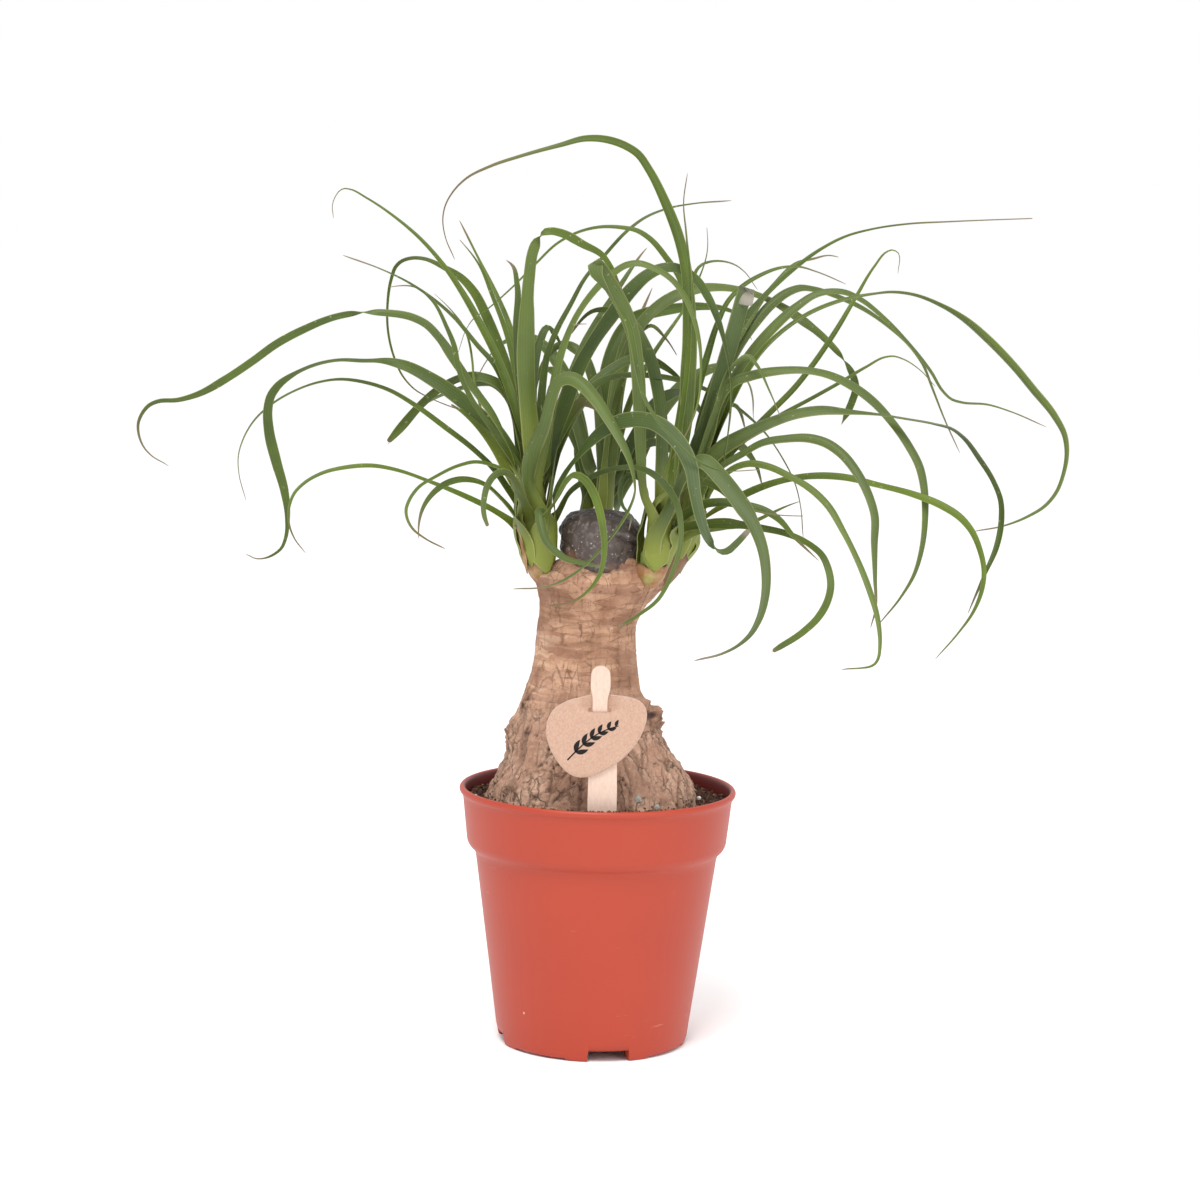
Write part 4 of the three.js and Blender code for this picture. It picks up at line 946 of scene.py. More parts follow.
crumb_rng = np.random.default_rng(5)
crumb_sizes = crumb_rng.uniform(0.3, 0.75, CRUMBS) * crumb_rng.uniform(0.7, 1.5, CRUMBS)
crumb_places = bare_places(CRUMBS, crumb_rng, 0.45 * crumb_sizes)
strewn("peat_crumbs", crumb_places, crumb_sizes, peat_material, palest=1.0, power=2.5)

rim_angle = np.radians(-90 + 24 * crumb_rng.normal(size=RIM_CRUMBS))
rim_places = polar(RIM_MIDDLE, rim_angle, crumb_rng.uniform(111.9, 112.25, RIM_CRUMBS))
strewn("crumbs_on_rim", rim_places, crumb_rng.uniform(0.3, 0.75, RIM_CRUMBS), peat_material, palest=0.8)

foot = trunk_fine[(trunk_fine[..., 2] > BARK_CRUMBS_FROM) & (trunk_fine[..., 2] < BARK_CRUMBS_TO)]
share_up = (foot[:, 2] - BARK_CRUMBS_FROM) / (BARK_CRUMBS_TO - BARK_CRUMBS_FROM)
foot = foot[crumb_rng.uniform(0, 1, len(foot)) ** 1.5 > share_up]
foot = foot[crumb_rng.integers(0, len(foot), BARK_CRUMBS)]
strewn("peat_on_bark", foot, crumb_rng.uniform(0.25, 0.7, BARK_CRUMBS), peat_material, 0.55, 1.0, 2.0)

flat_trunk = trunk_fine.reshape(-1, 3)
nearest = [np.linalg.norm(flat_trunk - place, axis=1).argmin() for place in PEBBLES]
strewn("pebbles_on_bark", flat_trunk[nearest], PEBBLE_SIZES, pebble_material, 0.8)

perlite_sizes = crumb_rng.uniform(0.45, 0.95, PERLITE)
perlite_places = bare_places(PERLITE, crumb_rng, 0.5 * perlite_sizes)
perlite_places[:3, :2] = PERLITE_SEEN
perlite_sizes[:3] = PERLITE_SEEN_SIZES
perlite_places[:3, 2] = soil_height(perlite_places[:3]) + 0.5
strewn("perlite_grains", perlite_places, perlite_sizes, perlite_material, 0.85)
print("strewn", CRUMBS + RIM_CRUMBS + BARK_CRUMBS, "crumbs,", PERLITE, "perlite,", len(PEBBLES), "pebbles")

# %% [markdown]
# ## Wound seal
# The head of the trunk was cut, and the cut is sealed with a dark grey wound wax. It is a loaf with
# soft dents, a fold on its right and a crust of pale specks. The wax is matt with a faint shine.

# %% Seal material
def wound_wax():
    """Dark grey wax: darker at its foot, with a pale painted highlight on the lip of the crease, rusty
    where sap came through, crusted in patches, with mineral specks in clusters, at most one speck in
    each cell of 1.3 mm."""
    material, tree = new_material("wound wax")
    place, read = surface_inputs(tree, "edge", "fold", "rust")
    broad = add(tree, "TexNoise", {"Vector": place, "Scale": every(7.69), "Detail": 4.0})
    base = add(tree, "MixRGB", {"Fac": broad, "Color1": "#352a28", "Color2": "#5b4f48"})
    crust = add(tree, "TexNoise", {"Vector": place, "Scale": every(1.923), "Detail": 3.0})
    specks = add(tree, "TexVoronoi", {"Vector": place, "Scale": every(1.316)})
    picked = add(tree, "SeparateColor", {"Color": specks.outputs["Color"]})
    rare = add(tree, "Math", {0: picked.outputs["Red"], 1: 0.8}, operation="GREATER_THAN")
    clusters = add(tree, "TexNoise", {"Vector": place, "Scale": every(9.09), "Detail": 2.0})
    cluster = add(tree, "MapRange", {"Value": clusters, "From Min": 0.42, "From Max": 0.6, "To Max": 0.75})
    # The fold attribute lays a pale painted highlight on the lip of the crease.
    colour = shaded(tree, base,
                    (read["edge"], 0, 1, 1, "#31251f"),
                    (read["fold"], 0, 1, 1, "#777575"),
                    (read["rust"], 0, 1, 1, "#7d563c"),
                    (crust, 0.56, 0.7, 0.4, "#857b78"),
                    (specks.outputs["Distance"], 0.34, 0.16, 1.0, "#c0b7b2", rare, cluster))
    fine = add(tree, "TexNoise", {"Vector": place, "Scale": every(1.111), "Detail": 3.0})
    bump = add(tree, "Bump", {"Height": fine, "Strength": 0.5, "Distance": 0.4 * MM})
    return finished(material, Base_Color=colour, Roughness=0.5, IOR=1.45, Normal=bump)


wax_material = wound_wax()

# %% Wound seal
SEAL_ROWS = 90
SEAL_COLUMNS = 224
CREASE_PLACE = (11, 221.5)  # x and z of its middle
CREASE_FALL = 0.5
RUST_STAINS = [((-15, -12, 211), 3.4, 1.0), ((4, -17, 209), 1.6, 0.5)]


def seal_surface():
    """Fine rows through the frame's rings, moved along the normal by dents, by a crease, and by
    thick drips at the foot. The crease is a furrow with a lip above it: two bell curves of the
    height over a line that falls to the right, in front and on the right only."""
    _, end, rings = node_rings("wound_seal", 28)
    rings = finer_columns(by_angle(rings, 0.96), SEAL_COLUMNS)
    knots = lengths_along(rings[:, 0])
    share = np.linspace(0, 1, SEAL_ROWS)
    grid = spline(knots / knots[-1], rings.reshape(len(rings), -1), share).reshape(SEAL_ROWS, -1, 3)
    x, y, z = np.moveaxis(grid, -1, 0)
    dents = 0.9 * noise(grid, 9.0, 51, 3) + 0.42 * noise(grid, 2.6, 53, 3)
    over = z - (CREASE_PLACE[1] - CREASE_FALL * (x - CREASE_PLACE[0])) + 1.2 * noise(grid, 5.0, 55)
    creased = smooth(4, 8, x) * smooth(2, -4, y)
    fold = creased * (1.0 * np.exp(-((over - 1.0) / 1.2) ** 2) - 1.1 * np.exp(-((over + 1.0) / 0.6) ** 2))
    drips = smooth(212, 207, z) * (1.4 + 1.2 * noise(grid, 5.0, 57))
    fine = grid + normals(grid) * (dents + fold + drips)[..., None]
    fine[..., 2] -= drips * 0.9
    # shine is a painted highlight on the lip above the crease, passed on as the attribute fold.
    shine = creased * np.exp(-((over - 0.6) / 1.1) ** 2) * (0.3 + 0.9 * noise(grid, 2.0, 59, 2))
    rust = sum(swelling(grid, *numbers) for numbers in RUST_STAINS)
    return capped(fine, [-0.4, 0, RIM_HEIGHT + 0.1], end + [0, 0, 0.2],
                  edge=np.clip(smooth(-9, -16, x) * 0.7 + smooth(227, 231, z) * 0.6, 0, 1),
                  fold=np.clip(shine, 0, 1), rust=np.clip(rust, 0, 1))


points, faces, attributes = seal_surface()
seal = piece("wound_wax_cap", points, faces, wax_material, attributes, ["wound_seal"])
print("seal", len(seal.data.polygons), "faces")

# %% [markdown]
# ## Shoots: cores and sheaths
# A shoot is a short core that the leaves stand on. Every leaf clasps it with a broad pale sheath,
# and the sheaths lie over each other like the leaves of a leek. The construction model has the
# cores; their axis and radii are read here, because each sheath is an arc about that axis.

# %% Shoot cores
SHOOTS = ["left_shoot", "right_shoot", "far_right_shoot", "back_shoot"]


def read_core(name):
    """Foot, direction, length and profile (heights, radii) of a shoot's core."""
    foot, head, rings = node_rings(name, 16)
    length = np.linalg.norm(head - foot)
    along = (head - foot) / length
    offset = rings - foot
    heights = offset @ along
    radii = np.linalg.norm(offset - heights[..., None] * along, axis=-1)
    return {"foot": foot, "along": along, "length": length, "heights": heights.mean(axis=1),
            "radii": radii.mean(axis=1)}


def on_core(core, height, radius, angle):
    """A place beside a core: a height along its axis, a distance from it and an angle round it,
    where 0 is to the right and minus a quarter turn is to the front."""
    side = unit(np.array([1.0, 0, 0]) - core["along"] * core["along"][0])
    back = np.cross(core["along"], side)
    round_axis = np.cos(angle)[..., None] * side + np.sin(angle)[..., None] * back
    return core["foot"] + height[..., None] * core["along"] + radius[..., None] * round_axis


cores = {name: read_core(name) for name in SHOOTS}
print({name: round(core["length"], 1) for name, core in cores.items()}, "mm long")

# %% [markdown]
# ## Shoots: cores and dry cups
# The core of each shoot is hidden by the sheaths, and is a plain turned surface. Round its foot lie
# the dead bases of the oldest leaves, dry as paper: a thin ragged cup, tan to dark brown, which
# tapers down into the bark. Each cup is a closed shell, turned about the core's axis.

# %% Shoot materials
def young_sheath():
    """Pale green tissue in clouds 8 mm wide, a little shiny."""
    material, tree = new_material("young leaf sheath")
    place, _ = surface_inputs(tree)
    cloud = add(tree, "TexNoise", {"Vector": place, "Scale": every(8.33), "Detail": 3.0})
    colour = add(tree, "MixRGB", {"Fac": cloud, "Color1": "#53652c", "Color2": "#8f9d55"})
    return finished(material, Base_Color=colour, Roughness=0.5, IOR=1.42)


def dry_scale():
    """Tan paper with upright fibres, darker on old cups, with a last green patch and a dark torn
    edge. The fibres are drawn 1.1 mm apart so that they show."""
    material, tree = new_material("dry papery scale")
    place, read = surface_inputs(tree, "height", "dark", "fresh")
    fibre_place = add(tree, "Mapping", {"Vector": place, "Scale": every(1.11, 1.11, 11.1)})
    fibre = add(tree, "TexNoise", {"Vector": fibre_place, "Scale": 1.0, "Detail": 3.0})
    cloud = add(tree, "TexNoise", {"Vector": place, "Scale": every(5.26), "Detail": 4.0})
    colour = shaded(tree, "#916540",
                    (cloud, 0.35, 0.65, 1.0, "#b1906b"),
                    (read["dark"], 0, 1, 1, "#6d5039"),
                    (fibre, 0.45, 0.7, 0.5, "#795a3e"),
                    (cloud, 0.3, 0.5, 1.0, "#8f9a4c", read["fresh"]),
                    (read["height"], 0.86, 1.0, 0.8, "#4e3320"))
    bump = add(tree, "Bump", {"Height": fibre, "Strength": 0.5, "Distance": 0.3 * MM})
    return finished(material, Base_Color=colour, Roughness=0.62, IOR=1.45, Normal=bump)


sheath_material = young_sheath()
scale_material = dry_scale()

# %% Cores and cups
CORE_COLUMNS = 48
CUP_COLUMNS = 96
CUP_THICKNESS = 0.35
CUPS = {
    # shoot: profile as height and radius, mean height of the edge, its swing, direction of the
    # highest side in degrees, how dark, direction of the last green patch
    "left_shoot": ([(-7.5, 2.4), (-4.0, 4.6), (0.0, 6.0), (4.0, 6.5), (9.0, 6.7), (12.0, 6.7)],
                   4.4, 3.4, 175, 0.1, 290),
    "right_shoot": ([(-6.5, 2.6), (-4.5, 4.4), (-1.5, 6.1), (1.5, 6.6), (5.0, 6.7), (9.0, 6.7)],
                    3.4, 1.2, 20, 0.0, 255),
    "far_right_shoot": ([(-11.0, 3.2), (-6.0, 4.8), (-2.0, 6.2), (3.0, 7.1), (7.5, 7.5), (10.0, 7.6)],
                        6.6, 0.8, -60, 0.75, 100),
    "back_shoot": ([(-8.0, 1.6), (-4.0, 4.4), (0.0, 5.8), (5.0, 6.3), (8.0, 6.3), (11.0, 6.2)],
                   5.0, 1.5, 90, 0.4, 60),
}


def turned_core(core):
    """The core as a turned surface about its own axis, with the profile that was read."""
    heights = np.linspace(core["heights"][0], core["heights"][-1], 26)[:, None]
    radii = np.interp(heights, core["heights"], core["radii"])
    angle = directions(CORE_COLUMNS)
    grid = on_core(core, *np.broadcast_arrays(heights, radii, angle))
    return capped(grid, core["foot"], core["foot"] + core["along"] * core["length"])


def dry_cup(core, cup, rng):
    """A thin closed shell: out up the profile, and back down a shell's thickness further in. The
    upper edge follows a mean height, a cosine of the angle, and a ragged noise."""
    profile, mean, swing, direction, dark, green = cup
    profile = np.array(profile, float)
    angle = directions(CUP_COLUMNS)
    edge = mean + swing * np.cos(angle - math.radians(direction))
    ragged = polar(8.0, angle, rng.uniform(0, 90))
    edge = edge + 0.9 * noise(ragged, 2.6, 71, 2)
    share = np.linspace(0, 1, 20)[:, None]
    heights = profile[0, 0] + (edge - profile[0, 0]) * share
    radii = np.interp(heights, profile[:, 0], profile[:, 1])
    ripple = xyz(ragged[:, 0], ragged[:, 1], heights)
    radii = radii + 0.35 * noise(ripple, (3.0, 3.0, 12.0), 73, 2) + 0.15 * smooth(0.8, 1.0, share)
    full = np.broadcast_to(angle, heights.shape)
    outer = on_core(core, heights, radii, full)
    inner = on_core(core, heights - 0.05, radii - CUP_THICKNESS, full)[::-1]
    height = np.broadcast_to(np.concatenate([share, share[::-1]]), (2 * len(share), CUP_COLUMNS))
    around = np.exp(-((angle - math.radians(green)) / 0.5) ** 2)
    values = {"height": height, "dark": np.full(height.shape, dark),
              "fresh": 0.85 * around * np.exp(-((height - 0.42) / 0.25) ** 2)}
    grid = np.concatenate([outer, inner])
    return grid.reshape(-1, 3), [grid_faces(len(grid), CUP_COLUMNS, wrap_rows=True)], values


cup_rng = np.random.default_rng(8)
for shoot in SHOOTS:
    points, faces, _ = turned_core(cores[shoot])
    piece(shoot + "_core", points, faces, sheath_material, replaces=[shoot])
    points, faces, attributes = dry_cup(cores[shoot], CUPS[shoot], cup_rng)
    piece(shoot + "_dry_cup", points, faces, scale_material, attributes)
print(len(SHOOTS), "cores, each with its dry cup")

# %% [markdown]
# ## Leaf material: cuticle over green tissue
# The blade is green tissue under a thin waxy cuticle, which gives it a broad satin shine. Fine
# parallel veins run along it, its margins are pale, its base is lime where it had no light, and its
# tip dries to a grey-brown thread. All of this follows the blade, so it reads attributes: place
# across, distance from the middle in millimetres, and how near the base or the tip a point is.

# %% Leaf material
VEIN_SPACING = 1.142


def leaf_blade():
    """Green by tone and cloud, bluish on some leaves, paler underneath, lime at the base, with a pale
    margin and dots, and straw at the dry tip. The veins are a sine of the distance from the middle,
    drawn 1.1 mm apart, coarser than they are, so that they show."""
    material, tree = new_material("waxy leaf blade")
    place, read = surface_inputs(tree, "tone", "teal", "base", "across", "offset", "dry", "under")
    cloud = add(tree, "TexNoise", {"Vector": place, "Scale": every(18.18), "Detail": 3.0})
    mix = add(tree, "Math", {0: read["tone"], 1: cloud}, operation="ADD")
    level = add(tree, "MapRange", {"Value": mix, "From Min": 0.35, "From Max": 1.45})
    green = add(tree, "MixRGB", {"Fac": level, "Color1": "#1e2f09", "Color2": "#546712"})
    veins = add(tree, "Math", {0: read["offset"], 1: 2 * math.pi / VEIN_SPACING}, operation="MULTIPLY")
    veins = add(tree, "Math", {0: veins}, operation="SINE")
    side = add(tree, "Math", {0: read["across"]}, operation="ABSOLUTE")
    margin = add(tree, "MapRange", {"Value": side, "From Min": 0.84, "From Max": 0.98, "To Max": 0.5})
    margin = add(tree, "Math", {0: read["base"], 1: 0.35, 2: margin}, operation="MULTIPLY_ADD")
    margin_on = add(tree, "MapRange", {"Value": side, "From Min": 0.82, "From Max": 0.9})
    dots = add(tree, "TexNoise", {"Vector": place, "Scale": every(1.923), "Detail": 1.0})
    straw = add(tree, "MixRGB", {"Fac": read["teal"], "Color1": "#655436", "Color2": "#96938a"})
    colour = shaded(tree, green,
                    (read["teal"], 0, 1, 1, "#28401f"),
                    (read["under"], 0, 1, 0.4, "#576432"),
                    (read["base"], 0, 1, 1, "#767f30"),
                    (veins, -1, 1, 0.08, "#7d8842"),
                    (margin, 0, 1, 1, "#999a60", margin_on),
                    (dots, 0.72, 0.78, 0.35, "#aca77c"),
                    (read["dry"], 0, 1, 1, straw))
    bump = add(tree, "Bump", {"Height": veins, "Strength": 0.12, "Distance": 0.1 * MM})
    rough = add(tree, "MapRange", {"Value": cloud, "To Min": 0.46, "To Max": 0.62})
    return finished(material, Base_Color=colour, Roughness=rough, IOR=1.42, Normal=bump)


leaf_material = leaf_blade()

# %% [markdown]
# ## Leaf shape
# A leaf could be a plane with a Solidify modifier, but its section changes all the way: an arc
# round the shoot at the sheath, a shallow channel along the blade and a thread at the tip. So each
# ring is a closed section of sixteen points, and the arc and the channel are blended into each
# other by how firmly the leaf holds the shoot at that place.

# %% Section and directions
def leaf_section(count):
    """Places across the blade, -1 to 1 over the top and back underneath, and which side each is."""
    over = -np.cos(np.linspace(0, np.pi, count))
    across = np.concatenate([over, over[-2:0:-1]])
    face = np.concatenate([np.ones(count), -np.ones(count - 2)])
    face[[0, count - 1]] = 0
    return across, face


def clasp_frame(path, tangent, core):
    """Distance of each point of a path from a core's axis, and the direction to it."""
    offset = path - core["foot"]
    inward = core["along"] * (offset @ core["along"])[:, None] - offset
    level = unit(inward - tangent * (inward * tangent).sum(1, keepdims=True))
    return np.linalg.norm(inward, axis=1), level


def facing_side(line, turn):
    """Side directions between level and flat on to the viewer, as far as the turn says."""
    tangent = unit(np.gradient(line, axis=0))
    sight = unit(line - CAMERA_PLACE)
    level = unit(np.cross(tangent, [0.0, 0.0, 1.0]))
    flat_on = unit(np.cross(tangent, sight))
    level *= np.sign((level * flat_on).sum(axis=1, keepdims=True) + 1e-6)
    return unit(level * (1 - turn) + flat_on * turn)


def turned_to_viewer(line, side, first, last):
    """Side directions that turn flat on to the viewer between two places along the line."""
    at = lengths_along(line)
    facing = facing_side(line, 1.0)
    start = np.searchsorted(at, first)
    facing *= np.sign(facing[start] @ side[start])
    side = side * np.sign((side * facing).sum(axis=1, keepdims=True))
    weight = (smooth(first - 25, first, at) * smooth(last + 25, last, at))[:, None]
    return unit(side * (1 - weight) + facing * weight)


# %% [markdown]
# ## The strap itself
# A blade is not quite even: it sways, its width comes and goes by a few percent, and some blades turn
# over or have a width of their own at places. The foot of each leaf starts lower, on the core, where
# the older leaves hide it.

# %% Strap
LEAF_STEP = 1.7
HALF_SECTION = 9
LEAF_THICKNESS = 0.42
HOLD_END = 26.0
TUCK = 0.5
HAIR = 0.18


def given_widths(wide, at, widths):
    """Widths that follow pairs of a place and a width from the first pair to the last, and go over
    into the others within 8 mm before and 6 mm after."""
    if not widths:
        return wide
    places, values = np.array(widths, float).T
    weight = smooth(places[0] - 8, places[0], at) * smooth(places[-1] + 6, places[-1], at)
    return wide + (np.interp(at, places, values) - wide) * weight


def strap(line, width, side, rng, flat=0.25, core=None, lead=0.0, sheath=0.0, twists=(), widths=()):
    """A channelled strap along a line. Free part: across the side direction by half the width, and
    raised at the margins by the channel's depth. Held part: an arc about the core's axis, whose
    half angle is the half width over the distance from the axis, with one margin tucked under. Twists
    are places along the strap where it turns over: middle, half span, and degrees."""
    length = lengths_along(line)
    at = np.linspace(0, length[-1], max(24, int(length[-1] / LEAF_STEP)))
    path = spline(length, line, at)
    tangent = unit(np.gradient(path, axis=0))
    wide = np.maximum(spline(length, width[:, None], at)[:, 0], HAIR)
    wide = given_widths(wide, at, widths)
    out = spline(length, side, at)
    out = unit(out - tangent * (out * tangent).sum(1, keepdims=True))
    hold, radius = np.zeros(len(at)), np.full(len(at), 1e3)
    if core:
        radius, level = clasp_frame(path, tangent, core)
        hold = 1 - smooth(lead + 2, lead + HOLD_END, at)
        if (np.cross(tangent[1], out[1]) @ level[1]) < 0:
            out = -out
        out = unit(out * (1 - hold[:, None]) + np.cross(level, tangent) * hold[:, None])
        wide = (wide + np.maximum(sheath - wide, 0) * hold) * smooth(-2.5, 8.0, at)
    phase = rng.uniform(0, 2 * np.pi, 4)
    free = smooth(10, 50, at)
    sway = (0.10 * np.sin(at / 17 + phase[0]) + 0.07 * np.sin(at / 7.3 + phase[1])) * free
    for middle, span, angle in twists:
        sway = sway + math.radians(angle) * smooth(middle - span, middle + span, at)
    out = out * np.cos(sway)[:, None] + np.cross(tangent, out) * np.sin(sway)[:, None]
    up = np.cross(tangent, out)
    wide = wide * (1 + 0.035 * np.sin(at / 9 + phase[2]) * free)
    channel = flat * (1 + 0.35 * np.sin(at / 31 + phase[3]) * free)[:, None]
    across, face = leaf_section(HALF_SECTION)
    half, hold = wide[:, None] / 2, hold[:, None]
    theta = np.clip(across * half / radius[:, None], -1.9, 1.9)
    arc_reach = radius[:, None] * np.sin(theta)
    arc_rise = radius[:, None] * (1 - np.cos(theta)) - TUCK * across
    free_reach = half * across * (1 - 0.16 * channel * np.abs(across))
    free_rise = half * channel * (np.abs(across) ** 1.3 - 0.42)
    thin = np.minimum(LEAF_THICKNESS, wide * 0.32)[:, None] * (1 - 0.75 * across**2)
    thick = face * thin * (1 + 0.7 * hold) / 2
    reach = free_reach + (arc_reach - free_reach) * hold - thick * np.sin(theta) * hold
    rise = free_rise + (arc_rise - free_rise) * hold + thick * (1 + (np.cos(theta) - 1) * hold)
    grid = path[:, None] + out[:, None] * reach[..., None] + up[:, None] * rise[..., None]
    return {"grid": grid, "at": at, "width": wide, "across": across, "face": face}


FOOT_LEVELS = [(0.5, 0.02, 8.6), (0.8, 0.37, 7.4), (np.inf, 0.69, 6.2)]  # up to, lowest point, sheath


def lead_in(core, first):
    """Points on the core below a leaf's first point, and the width of the sheath. The points start at
    the core's foot for outer leaves and on the step below for inner ones, all as shares of the
    core's length, and close in on the core towards their start."""
    offset = first - core["foot"]
    height = offset @ core["along"]
    outward = offset - height * core["along"]
    radius = np.linalg.norm(outward)
    share = height / core["length"]
    lowest, sheath = next(level[1:] for level in FOOT_LEVELS if share < level[0])
    heights = np.linspace(lowest * core["length"], height, 6)[:-1]
    gap = radius - np.interp(height, core["heights"], core["radii"])
    radii = np.interp(heights, core["heights"], core["radii"]) + gap * np.linspace(0.45, 1, 6)[:-1]
    points = core["foot"] + heights[:, None] * core["along"] + radii[:, None] * outward / radius
    return points, sheath


def with_lead_in(core, line, width, side):
    """Line, widths and sides of a leaf with its lead-in before them, then the sheath's width and the
    length of the lead-in."""
    below, sheath = lead_in(core, line[0])
    width = np.concatenate([np.full(len(below), width[0]), width])
    side = np.concatenate([np.repeat(side[:1], len(below), axis=0), side])
    return np.concatenate([below, line]), width, side, sheath, np.linalg.norm(line[0] - below[0])


def make_leaf(name, strap_made, look, replaces=(), material=None):
    """A leaf piece from a strap and its look: tone, bluishness, lengths of lime base and dry tip."""
    tone, teal, lime, brown = look
    grid, at, across = strap_made["grid"], strap_made["at"], strap_made["across"]
    one = np.ones(grid.shape[:2])
    values = {"tone": tone * one, "teal": teal * one, "across": across * one,
              "base": (1 - smooth(0.2 * lime, lime, at))[:, None] * one,
              "offset": across * strap_made["width"][:, None] / 2,
              "dry": smooth(at[-1] - brown, at[-1] - 0.25 * brown, at)[:, None] * one,
              "under": (strap_made["face"] < 0) * one}
    start = grid[0].mean(axis=0)
    end = grid[-1].mean(axis=0) + 0.4 * (grid[-1] - grid[-2]).mean(axis=0)
    points, faces, attributes = capped(grid, start, end, **values)
    piece(name, points, faces, material or leaf_material, attributes, replaces)


# %% [markdown]
# ## The leaves of the construction model
# Each construction leaf is a string of four-point rings. Their middles give the line, and the
# longer diagonal of each ring gives the width and the way the blade faces. Tones are set for the
# leaves that stand out and drawn at random for the rest.

# %% Leaves from the frame
WIDEN = 1.1
LEAF_LOOKS = {
    # leaf of each shoot: tone, bluishness, length of the lime base, length of the dry tip
    "left_shoot": {
        2: (0.55, 0.0, 36, 18), 3: (0.6, 0.0, 48, 45), 4: (0.3, 0.06, 30, 15), 5: (0.62, 0.0, 36, 24),
        6: (0.7, 0.0, 36, 22), 9: (0.4, 0.06, 30, 18), 10: (0.25, 0.0, 30, 3), 12: (0.6, 0.0, 54, 15),
        13: (0.52, 0.0, 66, 9), 16: (0.2, 0.21, 30, 15), 17: (0.25, 0.18, 30, 9),
        18: (0.42, 0.18, 36, 26), 19: (0.2, 0.33, 36, 5), 20: (0.45, 0.12, 36, 4),
        21: (0.65, 0.0, 36, 30), 22: (0.35, 0.24, 30, 9)},
    "right_shoot": {
        1: (0.45, 0.0, 42, 90), 4: (0.35, 0.09, 42, 18), 7: (0.15, 0.24, 30, 21), 8: (0.48, 0.0, 36, 2),
        9: (0.25, 0.42, 30, 6)},
    "far_right_shoot": {
        1: (0.45, 0.15, 40, 75), 5: (0.35, 0.06, 42, 12), 6: (0.25, 0.09, 42, 15), 8: (0.8, 0.0, 54, 9),
        9: (0.75, 0.0, 54, 9), 10: (0.7, 0.0, 54, 9), 11: (0.7, 0.0, 54, 12)},
    "back_shoot": {
        1: (0.48, 0.0, 36, 3)},
}
LEAF_SHAPES = {
    # leaf of each shoot: twists as place, half span and degrees; widths as place and width
    "left_shoot": {
        1: ([(136, 10, 180)], [(100, 3.6), (136, 2.8), (165, 3.4), (200, 3.5)]),
        4: ([(108, 10, 66), (160, 12, -66)],
            [(60, 7.0), (85, 6.0), (110, 4.4), (130, 3.2), (150, 3.4), (172, 4.2), (190, 4.8), (212, 3.8),
             (228, 1.9), (242, 1.2)]),
        10: ([], [(50, 3.0), (80, 2.7), (100, 2.1), (107, 1.4)]),
        13: ([(125, 6, 180)], [(100, 5.4), (120, 4.8), (130, 3.3), (140, 3.8), (150, 2.9), (160, 2.2)]),
        19: ([(173, 5, 180)], [(140, 5.4), (156, 4.8), (166, 3.8), (174, 2.4), (180, 3.0), (192, 2.4)]),
        20: ([], [(100, 2.7), (120, 2.2), (138, 1.8), (157, 1.4), (169, 1.0)])},
    "right_shoot": {
        4: ([(150, 20, 150)], [(100, 6.4), (136, 6.4)]),
        7: ([], [(95, 5.6), (114, 4.4), (131, 3.3), (143, 2.3), (153, 1.4), (168, 0.9)]),
        8: ([], [(55, 3.4), (85, 2.6), (105, 3.1), (120, 3.4), (135, 2.9), (145, 2.5), (149, 1.6)])},
    "far_right_shoot": {
        1: ([], [(110, 2.6), (146, 1.4), (170, 0.9), (240, 0.45)])},
    "back_shoot": {
        1: ([(203, 8, 180)], [(185, 3.3), (203, 2.6), (213, 3.5), (227, 3.2)])},
}


def read_leaf(node, core):
    """Middle line, widths and side directions of a construction leaf, from its foot to its tip."""
    middle = core["foot"] + 0.5 * core["length"] * core["along"]
    _, last, rings = node_rings(node, 4, near=middle)
    gaps = np.linalg.norm(rings[:, :, None] - rings[:, None, :], axis=-1).reshape(len(rings), -1)
    pair = gaps.argmax(axis=1)
    row = np.arange(len(rings))
    span = rings[row, pair // 4] - rings[row, pair % 4]
    flips = np.sign((span[1:] * span[:-1]).sum(axis=1))
    span[1:] *= np.cumprod(flips)[:, None]
    width = np.linalg.norm(span, axis=1)
    line = np.concatenate([rings.mean(axis=1), last[None]])
    return line, np.append(width, 0.3), unit(np.concatenate([span, span[-1:]]))


THIN_SHEATH_BELOW = 4.2


def drawn_look(rng, thin):
    """A look at random: tone, bluishness, lime base, and a dry tip that is longer on a thin leaf."""
    tone, teal, lime = rng.uniform(0.25, 0.7), rng.uniform(0.0, 0.15), rng.uniform(28, 46)
    return tone, teal, lime, rng.uniform(16, 38) if thin else rng.uniform(4, 12)


leaf_rng = np.random.default_rng(12)
for shoot in SHOOTS:
    for node in sorted(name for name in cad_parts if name.startswith(shoot + "_leaf_")):
        line, width, side = read_leaf(node, cores[shoot])
        line, width, side, sheath, lead = with_lead_in(cores[shoot], line, width, side)
        width = width * WIDEN
        if width.max() < THIN_SHEATH_BELOW:
            sheath *= 0.8
        number = int(node[-2:])
        twists, widths = LEAF_SHAPES[shoot].get(number, ((), ()))
        channel = leaf_rng.uniform(0.3, 0.5)
        if widths:
            side = turned_to_viewer(line, side, widths[0][0], widths[-1][0])
            channel = 0.14
        made = strap(line, width, side, leaf_rng, channel, cores[shoot], lead, sheath, twists, widths)
        look = drawn_look(leaf_rng, width[-2] < 2.4)
        make_leaf(node + "_blade", made, LEAF_LOOKS[shoot].get(number, look), [node])
print("leaves", sum("_leaf_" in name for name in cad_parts))

# %% [markdown]
# ## More leaves
# The plant has many more leaves than the construction model has nodes. Each of these follows a line
# that was read in the picture plane through the plant's axis and then pushed along the line of sight
# to its own depth, from the shoot it grows on to how far it reaches forward or back.

